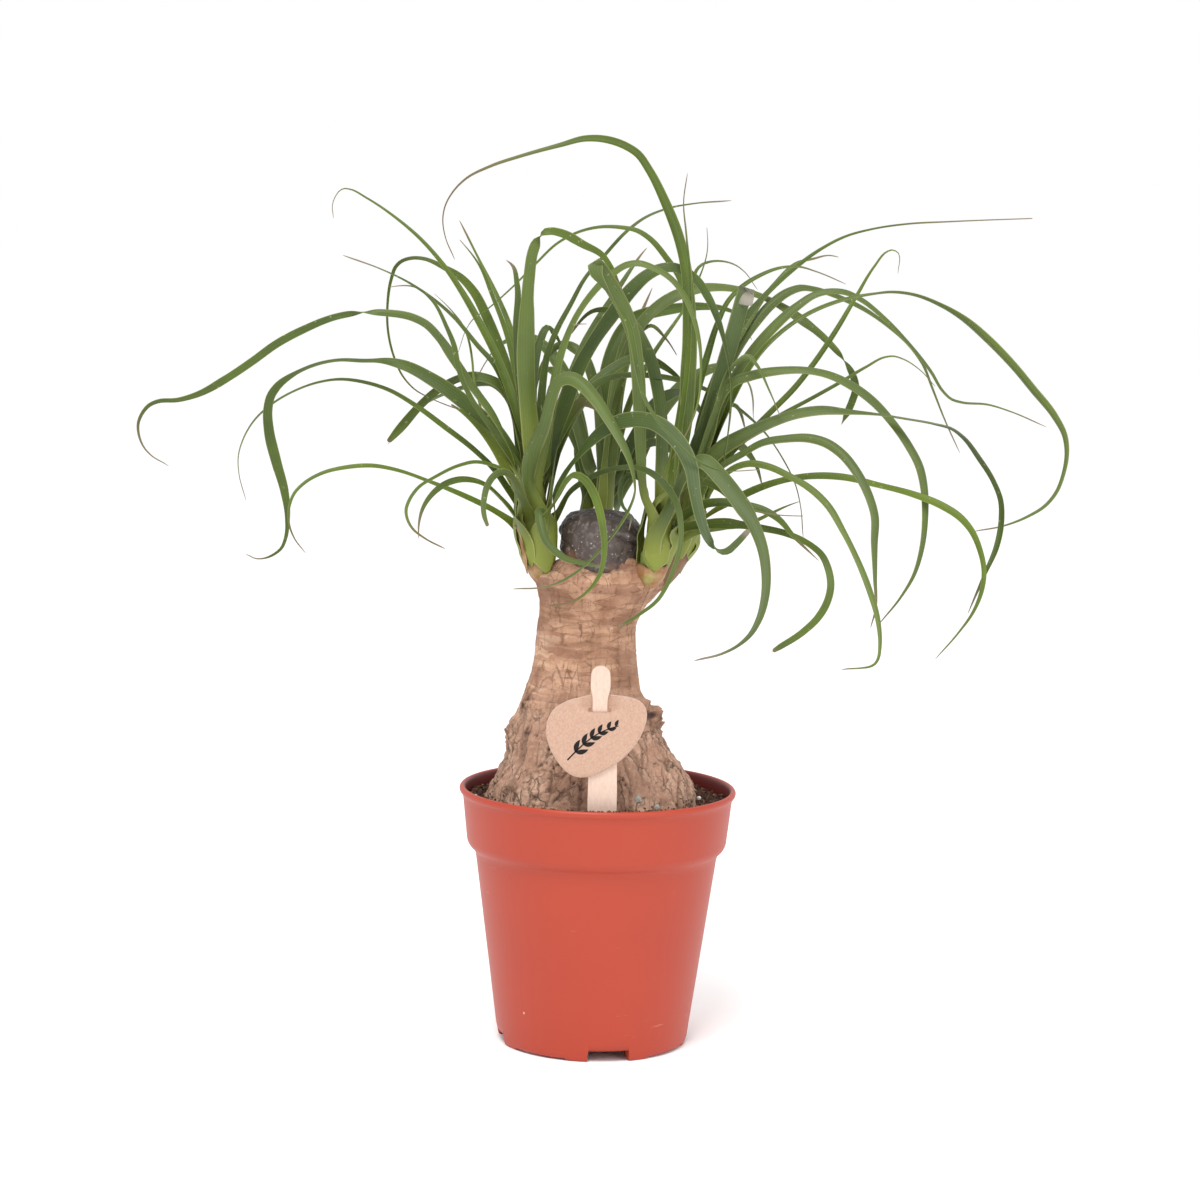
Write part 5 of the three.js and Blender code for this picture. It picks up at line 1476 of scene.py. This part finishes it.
# %% More leaves
EXTRA = [
    # shoot, depth at foot, depth at tip, width, taper start, look, guide
    ("left_shoot", 0, -30, 2.6, 0.5, (0.5, 0.1, 40, 12), [(-36, 245), (-48, 265), (-58, 279), (-62.5, 288),
     (-64.5, 295), (-65.7, 301), (-69, 309), (-76, 321), (-82.6, 325.8), (-93.5, 325.7)]),
    ("left_shoot", -4, 25, 1.0, 0.7, (0.9, 0.0, 40, 30), [(-34, 240), (-40, 250), (-52, 270), (-57.4, 289),
     (-58, 295), (-62, 309.5), (-67, 316), (-74.4, 323)]),
    ("left_shoot", -3, 20, 2.6, 0.4, (0.6, 0.1, 40, 8), [(-30, 235), (-40, 293), (-42.7, 304), (-50, 323),
     (-56.3, 336.6), (-64, 346)]),
    ("left_shoot", 0, -10, 2.6, 0.6, (0.45, 0.2, 40, 8), [(-30, 235), (-32, 250), (-38.5, 290), (-39.7, 310),
     (-39.5, 328), (-42, 336.5), (-44, 338)]),
    ("left_shoot", 4, 30, 4.0, 0.5, (0.3, 0.3, 40, 8), [(-29, 235), (-31, 262), (-31.6, 290), (-29.6, 303),
     (-26, 310), (-22, 306), (-19, 298)]),
    ("right_shoot", -10, 10, 1.6, 0.4, (0.5, 0.0, 40, 18), [(24, 235), (30, 270), (33, 300), (34, 318),
     (34.6, 327), (36.6, 330), (38.6, 334.6), (41, 344), (40.6, 353.6)]),
    ("far_right_shoot", 2, 50, 2.4, 0.4, (0.5, 0.1, 40, 20), [(34, 240), (40, 262), (47, 290), (58, 312),
     (70, 331), (80, 340.5), (86, 342), (93, 343.6), (96.5, 343)]),
    ("left_shoot", 2, 40, 2.6, 0.5, (0.55, 0.1, 40, 14), [(-27, 236), (-26, 255), (-18, 285), (-8, 309),
     (4, 328), (9, 336), (13, 342), (15, 344.5)]),
    ("far_right_shoot", 0, -20, 2.6, 0.5, (0.45, 0.2, 40, 8), [(33, 228), (36, 240), (46, 275), (55, 297),
     (60, 300), (63, 297), (69, 286), (74, 275)]),
    ("right_shoot", -16, -60, 3.6, 0.2, (0.7, 0.1, 30, 30), [(25, 228), (28, 238), (40, 246), (49, 243),
     (54, 239), (61, 235), (68.6, 233), (85, 232)]),
    ("far_right_shoot", -2, -30, 2.2, 0.4, (0.8, 0.0, 30, 8), [(30, 216), (36, 222), (52, 226), (64, 229),
     (72, 233), (78, 236), (83, 238)]),
    ("back_shoot", 24, 60, 3.2, 0.4, (0.9, 0.0, 36, 10), [(1, 238), (4, 255), (10, 280), (18, 298), (31, 318),
     (36, 326)]),
    ("back_shoot", 22, 35, 2.6, 0.5, (0.6, 0.0, 40, 16), [(-1, 235), (0, 258), (6, 290), (12, 308), (18, 312),
     (24, 307), (29, 300)]),
    ("left_shoot", -2, 15, 2.6, 0.3, (0.1, 0.2, 30, 30), [(-27, 238), (-26, 262), (-23, 285), (-20, 300),
     (-17.5, 308), (-15, 311), (-10, 312)]),
    ("back_shoot", 24, 40, 5.6, 0.7, (0.7, 0.0, 42, 6), [(0, 234), (1, 250), (2, 270), (4, 290), (7, 305),
     (10, 316)]),
    ("back_shoot", 28, 70, 6.0, 0.5, (0.45, 0.1, 30, 6), [(-3, 235), (-8, 255), (-14, 275), (-20, 290),
     (-27, 292), (-31, 280)]),
    ("back_shoot", 30, 85, 5.6, 0.5, (0.35, 0.3, 30, 6), [(0, 232), (6, 250), (14, 268), (22, 280), (32, 284),
     (40, 276), (46, 262)]),
    ("back_shoot", 29, 95, 5.0, 0.5, (0.5, 0.1, 30, 8), [(-3, 232), (-8, 248), (-13, 262), (-20, 272),
     (-30, 272), (-36, 258), (-38, 246)]),
    ("back_shoot", 30, 75, 4.6, 0.5, (0.4, 0.2, 30, 8), [(1, 230), (5, 244), (11, 256), (20, 262), (30, 258),
     (36, 248), (40, 238)]),
    ("back_shoot", 27, 60, 5.0, 0.5, (0.45, 0.15, 30, 6), [(-1, 235), (-2, 262), (-6, 288), (-12, 300),
     (-20, 303), (-27, 296), (-31, 286)]),
    ("far_right_shoot", 8, 70, 5.2, 0.5, (0.4, 0.2, 30, 6), [(32, 232), (36, 250), (42, 266), (48, 277),
     (54, 279), (59, 270)]),
    ("far_right_shoot", 6, 55, 5.0, 0.5, (0.45, 0.1, 30, 6), [(33, 230), (40, 246), (48, 258), (56, 262),
     (63, 256), (67, 246)]),
    ("left_shoot", 2, 30, 4.4, 0.94, (0.5, 0.0, 40, 2), [(-30, 234), (-34, 256), (-40, 277), (-47.3, 285.9),
     (-54.6, 288.3), (-61.9, 288.1), (-71.6, 283.2), (-80, 275.7), (-88.4, 265.7), (-93.1, 260)]),
    ("left_shoot", -4, 3, 6.2, 0.3, (0.6, 0.0, 60, 4), [(-35.9, 233.8), (-39.5, 242.3), (-42.7, 249.6),
     (-45.8, 256), (-49.3, 261), (-53.3, 265.6), (-57.7, 269.8), (-62, 273.2), (-66.3, 276)]),
    ("far_right_shoot", 2, -8, 7.6, 1.04, (0.2, 0.7, 40, 11), [(35, 245), (40, 262), (48, 290), (53, 308),
     (57.5, 326), (58.5, 329), (58, 326.5), (57.2, 322)]),
    ("right_shoot", -12, 30, 5.6, 0.5, (0.35, 0.2, 36, 6), [(23, 234), (24, 258), (22, 282), (16, 302),
     (6, 316), (-6, 318), (-16, 308)]),
    ("left_shoot", 0, 35, 5.6, 0.5, (0.4, 0.15, 36, 6), [(-27, 236), (-22, 256), (-14, 274), (-2, 290),
     (14, 298), (28, 292), (38, 278)]),
]


def guide_line(guide, start, end):
    """Points of the picture plane y = 0 pushed along the sight line. The depth goes evenly from the
    start to the end along the leaf, a little slower at first."""
    guide = np.array(guide, float)
    flat = xyz(guide[:, 0], 0.0, guide[:, 1])
    run = lengths_along(flat)
    depth = start + (end - start) * (run / run[-1]) ** 1.1
    return CAMERA_PLACE + (flat - CAMERA_PLACE) * (1 - depth / CAMERA_PLACE[1])[:, None]


def extra_leaf(entry, number):
    """A leaf from one entry of the table above, clasping its shoot like the others. Its width is even
    up to the taper's start, and a seventh of that at the tip."""
    shoot, start, end, width, taper, look, guide = entry
    line = guide_line(guide, start, end)
    widths = width * (1 - 0.86 * smooth(taper, 1.05, np.linspace(0, 1, len(line))))
    side = facing_side(line, 0.6)
    line, widths, side, sheath, lead = with_lead_in(cores[shoot], line, widths, side)
    made = strap(line, widths, side, leaf_rng, 0.22, cores[shoot], lead, min(sheath, 1.6 * width))
    make_leaf(f"{shoot}_more_leaf_{number:02d}", made, look)


for number, entry in enumerate(EXTRA):
    extra_leaf(entry, number + 1)
print("more leaves", len(EXTRA))

# %% [markdown]
# ## Outer scales
# Outside the sheaths sit short leaf bases that hug their shoot: three are young and green, one is
# papery and dry, and one has dried to a curl. Each is a strap held by the core over its whole length.

# %% Outer scales
SCALE_LINES = {
    # piece: shoot, tone, material, stations as height along the core, distance from its axis, and
    # angle in degrees, then the width at each station
    "left_shoot_front_scale": ("left_shoot", 0.6, None, [
        (-3.0, 7.3, -66), (0, 7.8, -68), (4, 8.1, -72), (9, 7.9, -78), (15, 7.8, -86), (22, 6.8, -93),
        (30, 6.0, -98), (38, 5.4, -100)], [7, 9, 10.5, 11, 10, 8.5, 6.5, 3]),
    "right_shoot_front_scale": ("right_shoot", 0.6, None, [
        (1.0, 7.3, -84), (3, 7.9, -84), (6, 8.0, -82), (11, 7.4, -80), (16, 6.6, -78), (22, 5.6, -76),
        (28, 4.8, -75)], [8, 10.5, 12, 11.5, 10, 7, 3]),
    "far_right_shoot_outer_scale": ("far_right_shoot", 0.4, None, [
        (-1.0, 6.4, 0), (3, 7.0, 0), (7, 7.5, -2), (12, 7.8, -4), (17, 7.6, -6), (22, 6.8, -8),
        (28, 6.0, -10)], [8, 11, 12.5, 12, 11, 8, 3]),
    "left_shoot_papery_scale": ("left_shoot", 0.6, scale_material, [
        (-2.0, 7.2, 218), (2, 7.6, 216), (6, 7.9, 213), (10, 8.0, 210), (14, 8.1, 208), (18, 8.0, 207)],
        [5, 5.5, 5.2, 4.2, 2.8, 0.6]),
    "left_shoot_dry_curl": ("left_shoot", 0.6, scale_material, [
        (8, 8.4, 232), (11, 8.7, 228), (14, 9.0, 224), (17, 9.6, 221), (19, 10.6, 219),
        (19.6, 11.6, 217)], [1.2, 1.6, 1.7, 1.6, 1.3, 0.5]),
}
ALWAYS_HELD = 1000.0
for name, (shoot, tone, material, stations, widths) in SCALE_LINES.items():
    height, radius, angle = np.array(stations, float).T
    line = on_core(cores[shoot], height, radius, np.radians(angle))
    side = np.repeat([[1.0, 0.0, 0.0]], len(line), axis=0)
    made = strap(line, np.array(widths, float), side, leaf_rng, 0.3, cores[shoot], ALWAYS_HELD, 0.0)
    make_leaf(name, made, (tone, 0.0, 60, 3), (), material)
print("outer scales", len(SCALE_LINES))

# %% [markdown]
# ## Label stake
# The stake is a cut birch tongue: broad in the soil, a narrow neck for the tag and a round head. It
# is punched from veneer 1.6 mm thick, so it has a constant thickness and slightly broken edges. Its
# section is a rounded rectangle, a superellipse whose width follows the outline.

# %% Stake material
def birch_veneer():
    """Pale veneer with fibres along the stake and a few flecks. Fibres are drawn 0.7 to 2.4 mm long,
    coarser than they are, so that they show; the flecks are 2.4 times finer."""
    material, tree = new_material("birch veneer")
    place, _ = surface_inputs(tree)
    grain_place = add(tree, "Mapping", {"Vector": place, "Scale": every(0.667, 1.25, 2.381)})
    grain = add(tree, "TexNoise", {"Vector": grain_place, "Scale": 1.0, "Detail": 4.0, "Roughness": 0.6})
    fleck = add(tree, "TexNoise", {"Vector": grain_place, "Scale": 2.4, "Detail": 2.0})
    colour = shaded(tree, "#d0b6a7",
                    (grain, 0.42, 0.7, 1.0, "#c8aa95"),
                    (fleck, 0.62, 0.7, 0.35, "#ba9479"))
    bump = add(tree, "Bump", {"Height": grain, "Strength": 0.3, "Distance": 0.2 * MM})
    return finished(material, Base_Color=colour, Roughness=0.7, IOR=1.5, Normal=bump)


birch_material = birch_veneer()

# %% Stake
STAKE_EDGES = np.array([  # height, left edge, right edge
    [85, -4.1, 8.1], [100, -4.15, 8.05], [122, -4.2, 8.0], [132, -4.1, 7.6], [140, -3.9, 6.6],
    [147, -3.5, 4.8], [153, -3.1, 3.3], [156, -3.05, 3.2], [159, -3.2, 3.4], [162, -3.85, 4.1],
    [165, -4.0, 4.3], [168.4, -3.9, 4.1]])
STAKE_DEPTH = -50.0
STAKE_HALF = 0.8
STAKE_COLUMNS = 40
HEAD_RISE = 3.9
CORNER_POWER = 0.25


def stake_surface():
    """Rows up the outline, and then a half ellipse for the head. Each row is a superellipse: an
    oblong with rounded corners."""
    foot, shoulder = STAKE_EDGES[0, 0], STAKE_EDGES[-1, 0]
    low = np.linspace(foot, shoulder, 90)
    edges = spline(STAKE_EDGES[:, 0], STAKE_EDGES[:, 1:], low)
    turn = np.linspace(0, np.pi / 2, 16)[1:-1]
    height = np.concatenate([low, shoulder + HEAD_RISE * np.sin(turn)])
    half = np.concatenate([np.ptp(edges, axis=1) / 2, np.ptp(edges[-1]) / 2 * np.cos(turn)])
    middle = np.concatenate([edges.mean(axis=1), np.full(len(turn), edges[-1].mean())])
    angle = directions(STAKE_COLUMNS)
    across, through = oblong(angle, CORNER_POWER).T
    x = middle[:, None] + half[:, None] * across
    grid = xyz(x, STAKE_DEPTH + STAKE_HALF * through, height[:, None])
    return capped(grid, [2, STAKE_DEPTH, foot - 0.4], [0.2, STAKE_DEPTH, shoulder + HEAD_RISE + 0.1])


points, faces, _ = stake_surface()
stake = piece("birch_stake", points, faces, birch_material, replaces=["label_stake"])
print("stake", len(stake.data.polygons), "faces")

# %% [markdown]
# ## Board tag
# The tag is die cut from kraft board, with a slit near its top. The stake's neck goes through the
# slit: the head stands in front of the board and the foot behind it, so the board above the slit is
# pressed back. The board is one closed surface: its front runs from the outline to the slit, and
# comes back through it as the rear face.

# %% Tag material
def kraft_board():
    """Brown board of pressed fibres with darker specks, pale at the cut edge. The fibres are drawn up
    to 1.7 mm long, coarser than they are, so that they show."""
    material, tree = new_material("kraft board")
    place, read = surface_inputs(tree, "rim")
    fibre_place = add(tree, "Mapping", {"Vector": place, "Scale": every(0.667, 1.667, 0.7692),
                                        "Rotation": (0, 0.3, 0)})
    fibre = add(tree, "TexNoise", {"Vector": fibre_place, "Scale": 1.0, "Detail": 4.0, "Roughness": 0.7})
    specks = add(tree, "TexNoise", {"Vector": place, "Scale": every(0.7143), "Detail": 2.0})
    # The pale rim is a painted highlight along the cut edge, where the board's thickness catches light.
    colour = shaded(tree, "#ab8672",
                    (fibre, 0.35, 0.68, 1.0, "#ba9b87"),
                    (specks, 0.62, 0.72, 0.45, "#997259"),
                    (read["rim"], 0, 1, 1, "#c6b3a8"))
    bump = add(tree, "Bump", {"Height": fibre, "Strength": 0.25, "Distance": 0.2 * MM})
    return finished(material, Base_Color=colour, Roughness=0.75, IOR=1.5, Normal=bump)


def print_ink():
    """Nearly black ink that has sunk into the board, so it is as matt as the board."""
    material, _ = new_material("printing ink")
    return finished(material, Base_Color="#0f0c0b", Roughness=0.8, IOR=1.4)


kraft_material = kraft_board()
ink_material = print_ink()

# %% Tag
TAG_OUTLINE = np.array([
    [-22.1, 143.6], [-21, 138.9], [-17, 131.5], [-13.1, 127.3], [-9.3, 125.4], [-4.7, 125.4],
    [1.9, 128.1], [9.3, 132.9], [14.6, 138.6], [18.6, 146.3], [19.7, 152.7], [18.9, 155.7],
    [17.1, 157.7], [12.4, 159.6], [4.9, 160.1], [-3.4, 159.8], [-13.8, 157.3], [-19.1, 153.8],
    [-21.6, 149.1]])
TAG_COLUMNS = 240
TAG_DEPTH = -51.7
TAG_HALF = 0.6
SLIT_MIDDLE = np.array([0.0, 153.75])
SLIT_HALF = np.array([4.7, 0.8])
SLIT_POWER = np.array([0.6, 0.3])
PUSHED_BACK = 2.9


def closed_curve(corners, count):
    """Points evenly spaced on the smooth closed curve through the corners."""
    loop = np.concatenate([corners[-3:], corners, corners[:3]])
    knots = lengths_along(loop)
    at = np.linspace(knots[3], knots[-3], count, endpoint=False)
    return spline(knots, loop, at)


def tag_bend(x, z):
    """How far the board is pushed back: fully above the slit where the stake's neck is, and not at
    all below the slit or far beside it."""
    return PUSHED_BACK * smooth(9.5, 3.6, np.abs(x)) * smooth(152.6, 154.9, z)


def tag_surface():
    """Rows of the front and then of the rear face. Each column goes straight from a point of the
    outline to the point of the slit in the same direction. The first rows lie close together and
    further back, which breaks the edge."""
    outline = closed_curve(TAG_OUTLINE, TAG_COLUMNS)
    offset = outline - SLIT_MIDDLE
    angle = np.arctan2(offset[:, 1] / 3, offset[:, 0])
    slit = SLIT_MIDDLE + SLIT_HALF * oblong(angle, SLIT_POWER)
    distance = np.linalg.norm(slit - outline, axis=1)
    shares = [np.minimum(value / distance, 0.2) for value in (0.0, 0.08, 0.3)]
    shares += [0.3 / distance + (1 - 0.3 / distance) * t for t in np.linspace(0, 1, 18)[1:]]
    share = np.array(shares)[..., None]
    flat = outline + (slit - outline) * share
    round_off = np.array([0.42, 0.12] + [0.0] * (len(shares) - 2))[:, None]
    front = xyz(flat[..., 0], round_off - TAG_HALF, flat[..., 1])
    back = front[::-1] * np.array([1, -1, 1])
    grid = np.concatenate([front, back])
    grid[..., 1] += TAG_DEPTH + tag_bend(grid[..., 0], grid[..., 2])
    # The rim rows carry the painted highlight along the cut edge.
    rim = np.zeros(grid.shape[:2])
    rim[[0, -1]] = 1
    rim[[1, -2]] = 0.4
    return grid.reshape(-1, 3), [grid_faces(len(grid), TAG_COLUMNS, wrap_rows=True)], {"rim": rim}


points, faces, attributes = tag_surface()
tag = piece("kraft_tag", points, faces, kraft_material, attributes, ["label_tag"])
print("tag", len(tag.data.polygons), "faces")

# %% [markdown]
# ## Print on the tag
# A plain sprig is printed below the slit. Print has no thickness to speak of; here each stroke is a
# thin closed strip just proud of the board, as an image texture would not travel with the piece.

# %% Print
INK = 0.06
INK_SUNK = 0.01


def stroke(line, half_widths):
    """A closed flat strip along a line (x, z) on the front of the tag."""
    line, half_widths = np.array(line, float), np.array(half_widths, float)
    direction = unit(np.gradient(line, axis=0))
    normal = np.stack([-direction[:, 1], direction[:, 0]], -1)
    left, right = line - normal * half_widths[:, None], line + normal * half_widths[:, None]
    front = TAG_DEPTH - TAG_HALF - (INK - INK_SUNK)
    corners = [xyz(side[:, 0], depth, side[:, 1]) for side, depth in
               ((left, front), (right, front), (right, front + INK), (left, front + INK))]
    ends = np.array([[0, 1, 2, 3], [-1, -2, -3, -4]]) % (4 * len(line))
    grid = np.stack(corners, axis=1)
    return grid.reshape(-1, 3), [grid_faces(len(grid), 4), ends]


def sprig():
    """A curved stem with pairs of leaflets: each leaflet is a lens along a short arc."""
    t = np.linspace(0, 1, 40)
    stem = np.stack([-13 + 21 * t, 132.5 + 15 * t + 2.6 * np.sin(np.pi * t)], -1)
    strokes = [(stem, 0.32 - 0.12 * t)]
    for number, at in enumerate(np.linspace(0.16, 0.96, 6)):
        root = stem[int(at * 39)]
        for turn in (0.95, -0.75):
            if number == 5 and turn < 0:
                continue
            heading = 0.62 + turn
            u = np.linspace(0, 1, 16)
            reach = 5.6 - 0.5 * number
            bend = heading - 0.35 * np.sign(turn) * u
            leaflet = root + reach * np.stack([u * np.cos(bend), u * np.sin(bend)], -1)
            strokes.append((leaflet, 0.04 + 1.0 * np.sin(np.pi * u**0.85) * (1 - 0.06 * number)))
    return strokes


all_points, all_faces, start = [], [], 0
for line, half_widths in sprig():
    points, faces = stroke(line, half_widths)
    all_points.append(points)
    all_faces += [part + start for part in faces]
    start += len(points)
piece("printed_sprig", np.concatenate(all_points), all_faces, ink_material, smooth=False)
print("strokes", len(all_points))

# %% [markdown]
# ## Floor and light
# The plant stands on a plain pale floor under a big white tent of light: the sky of the scene gives
# most of it, and two large soft lamps add a direction.

# %% Floor and lights
FLOOR = 6.0
floor_mesh = bpy.data.meshes.new("floor")
floor_mesh.from_pydata([[-FLOOR, -FLOOR, 0], [FLOOR, -FLOOR, 0], [FLOOR, FLOOR, 0], [-FLOOR, FLOOR, 0]],
                       [], [[0, 1, 2, 3]])
floor = bpy.data.objects.new("floor", floor_mesh)
scene.collection.objects.link(floor)
floor_material, _ = new_material("pale floor")
floor_mesh.materials.append(finished(floor_material, Base_Color="#ffffff", Roughness=0.9))

world = bpy.data.worlds.new("studio")
scene.world = world
world.use_nodes = True
world.node_tree.nodes["Background"].inputs["Color"].default_value = (1, 1, 1, 1)
world.node_tree.nodes["Background"].inputs["Strength"].default_value = 1.0


def lamp(name, place, target, size, power):
    """A square area lamp at a place, turned to a target."""
    data = bpy.data.lights.new(name, "AREA")
    data.size = size
    data.energy = power
    made = bpy.data.objects.new(name, data)
    scene.collection.objects.link(made)
    made.rotation_euler = (Vector(target) - Vector(place)).to_track_quat("-Z", "Y").to_euler()
    made.location = place


lamp("key", (-0.3, -1.1, 1.8), (0, 0, 0.2), 0.8, 28)
lamp("fill", (1.1, -1.2, 0.8), (0, 0, 0.2), 0.9, 6)
scene.view_settings.view_transform = "Standard"
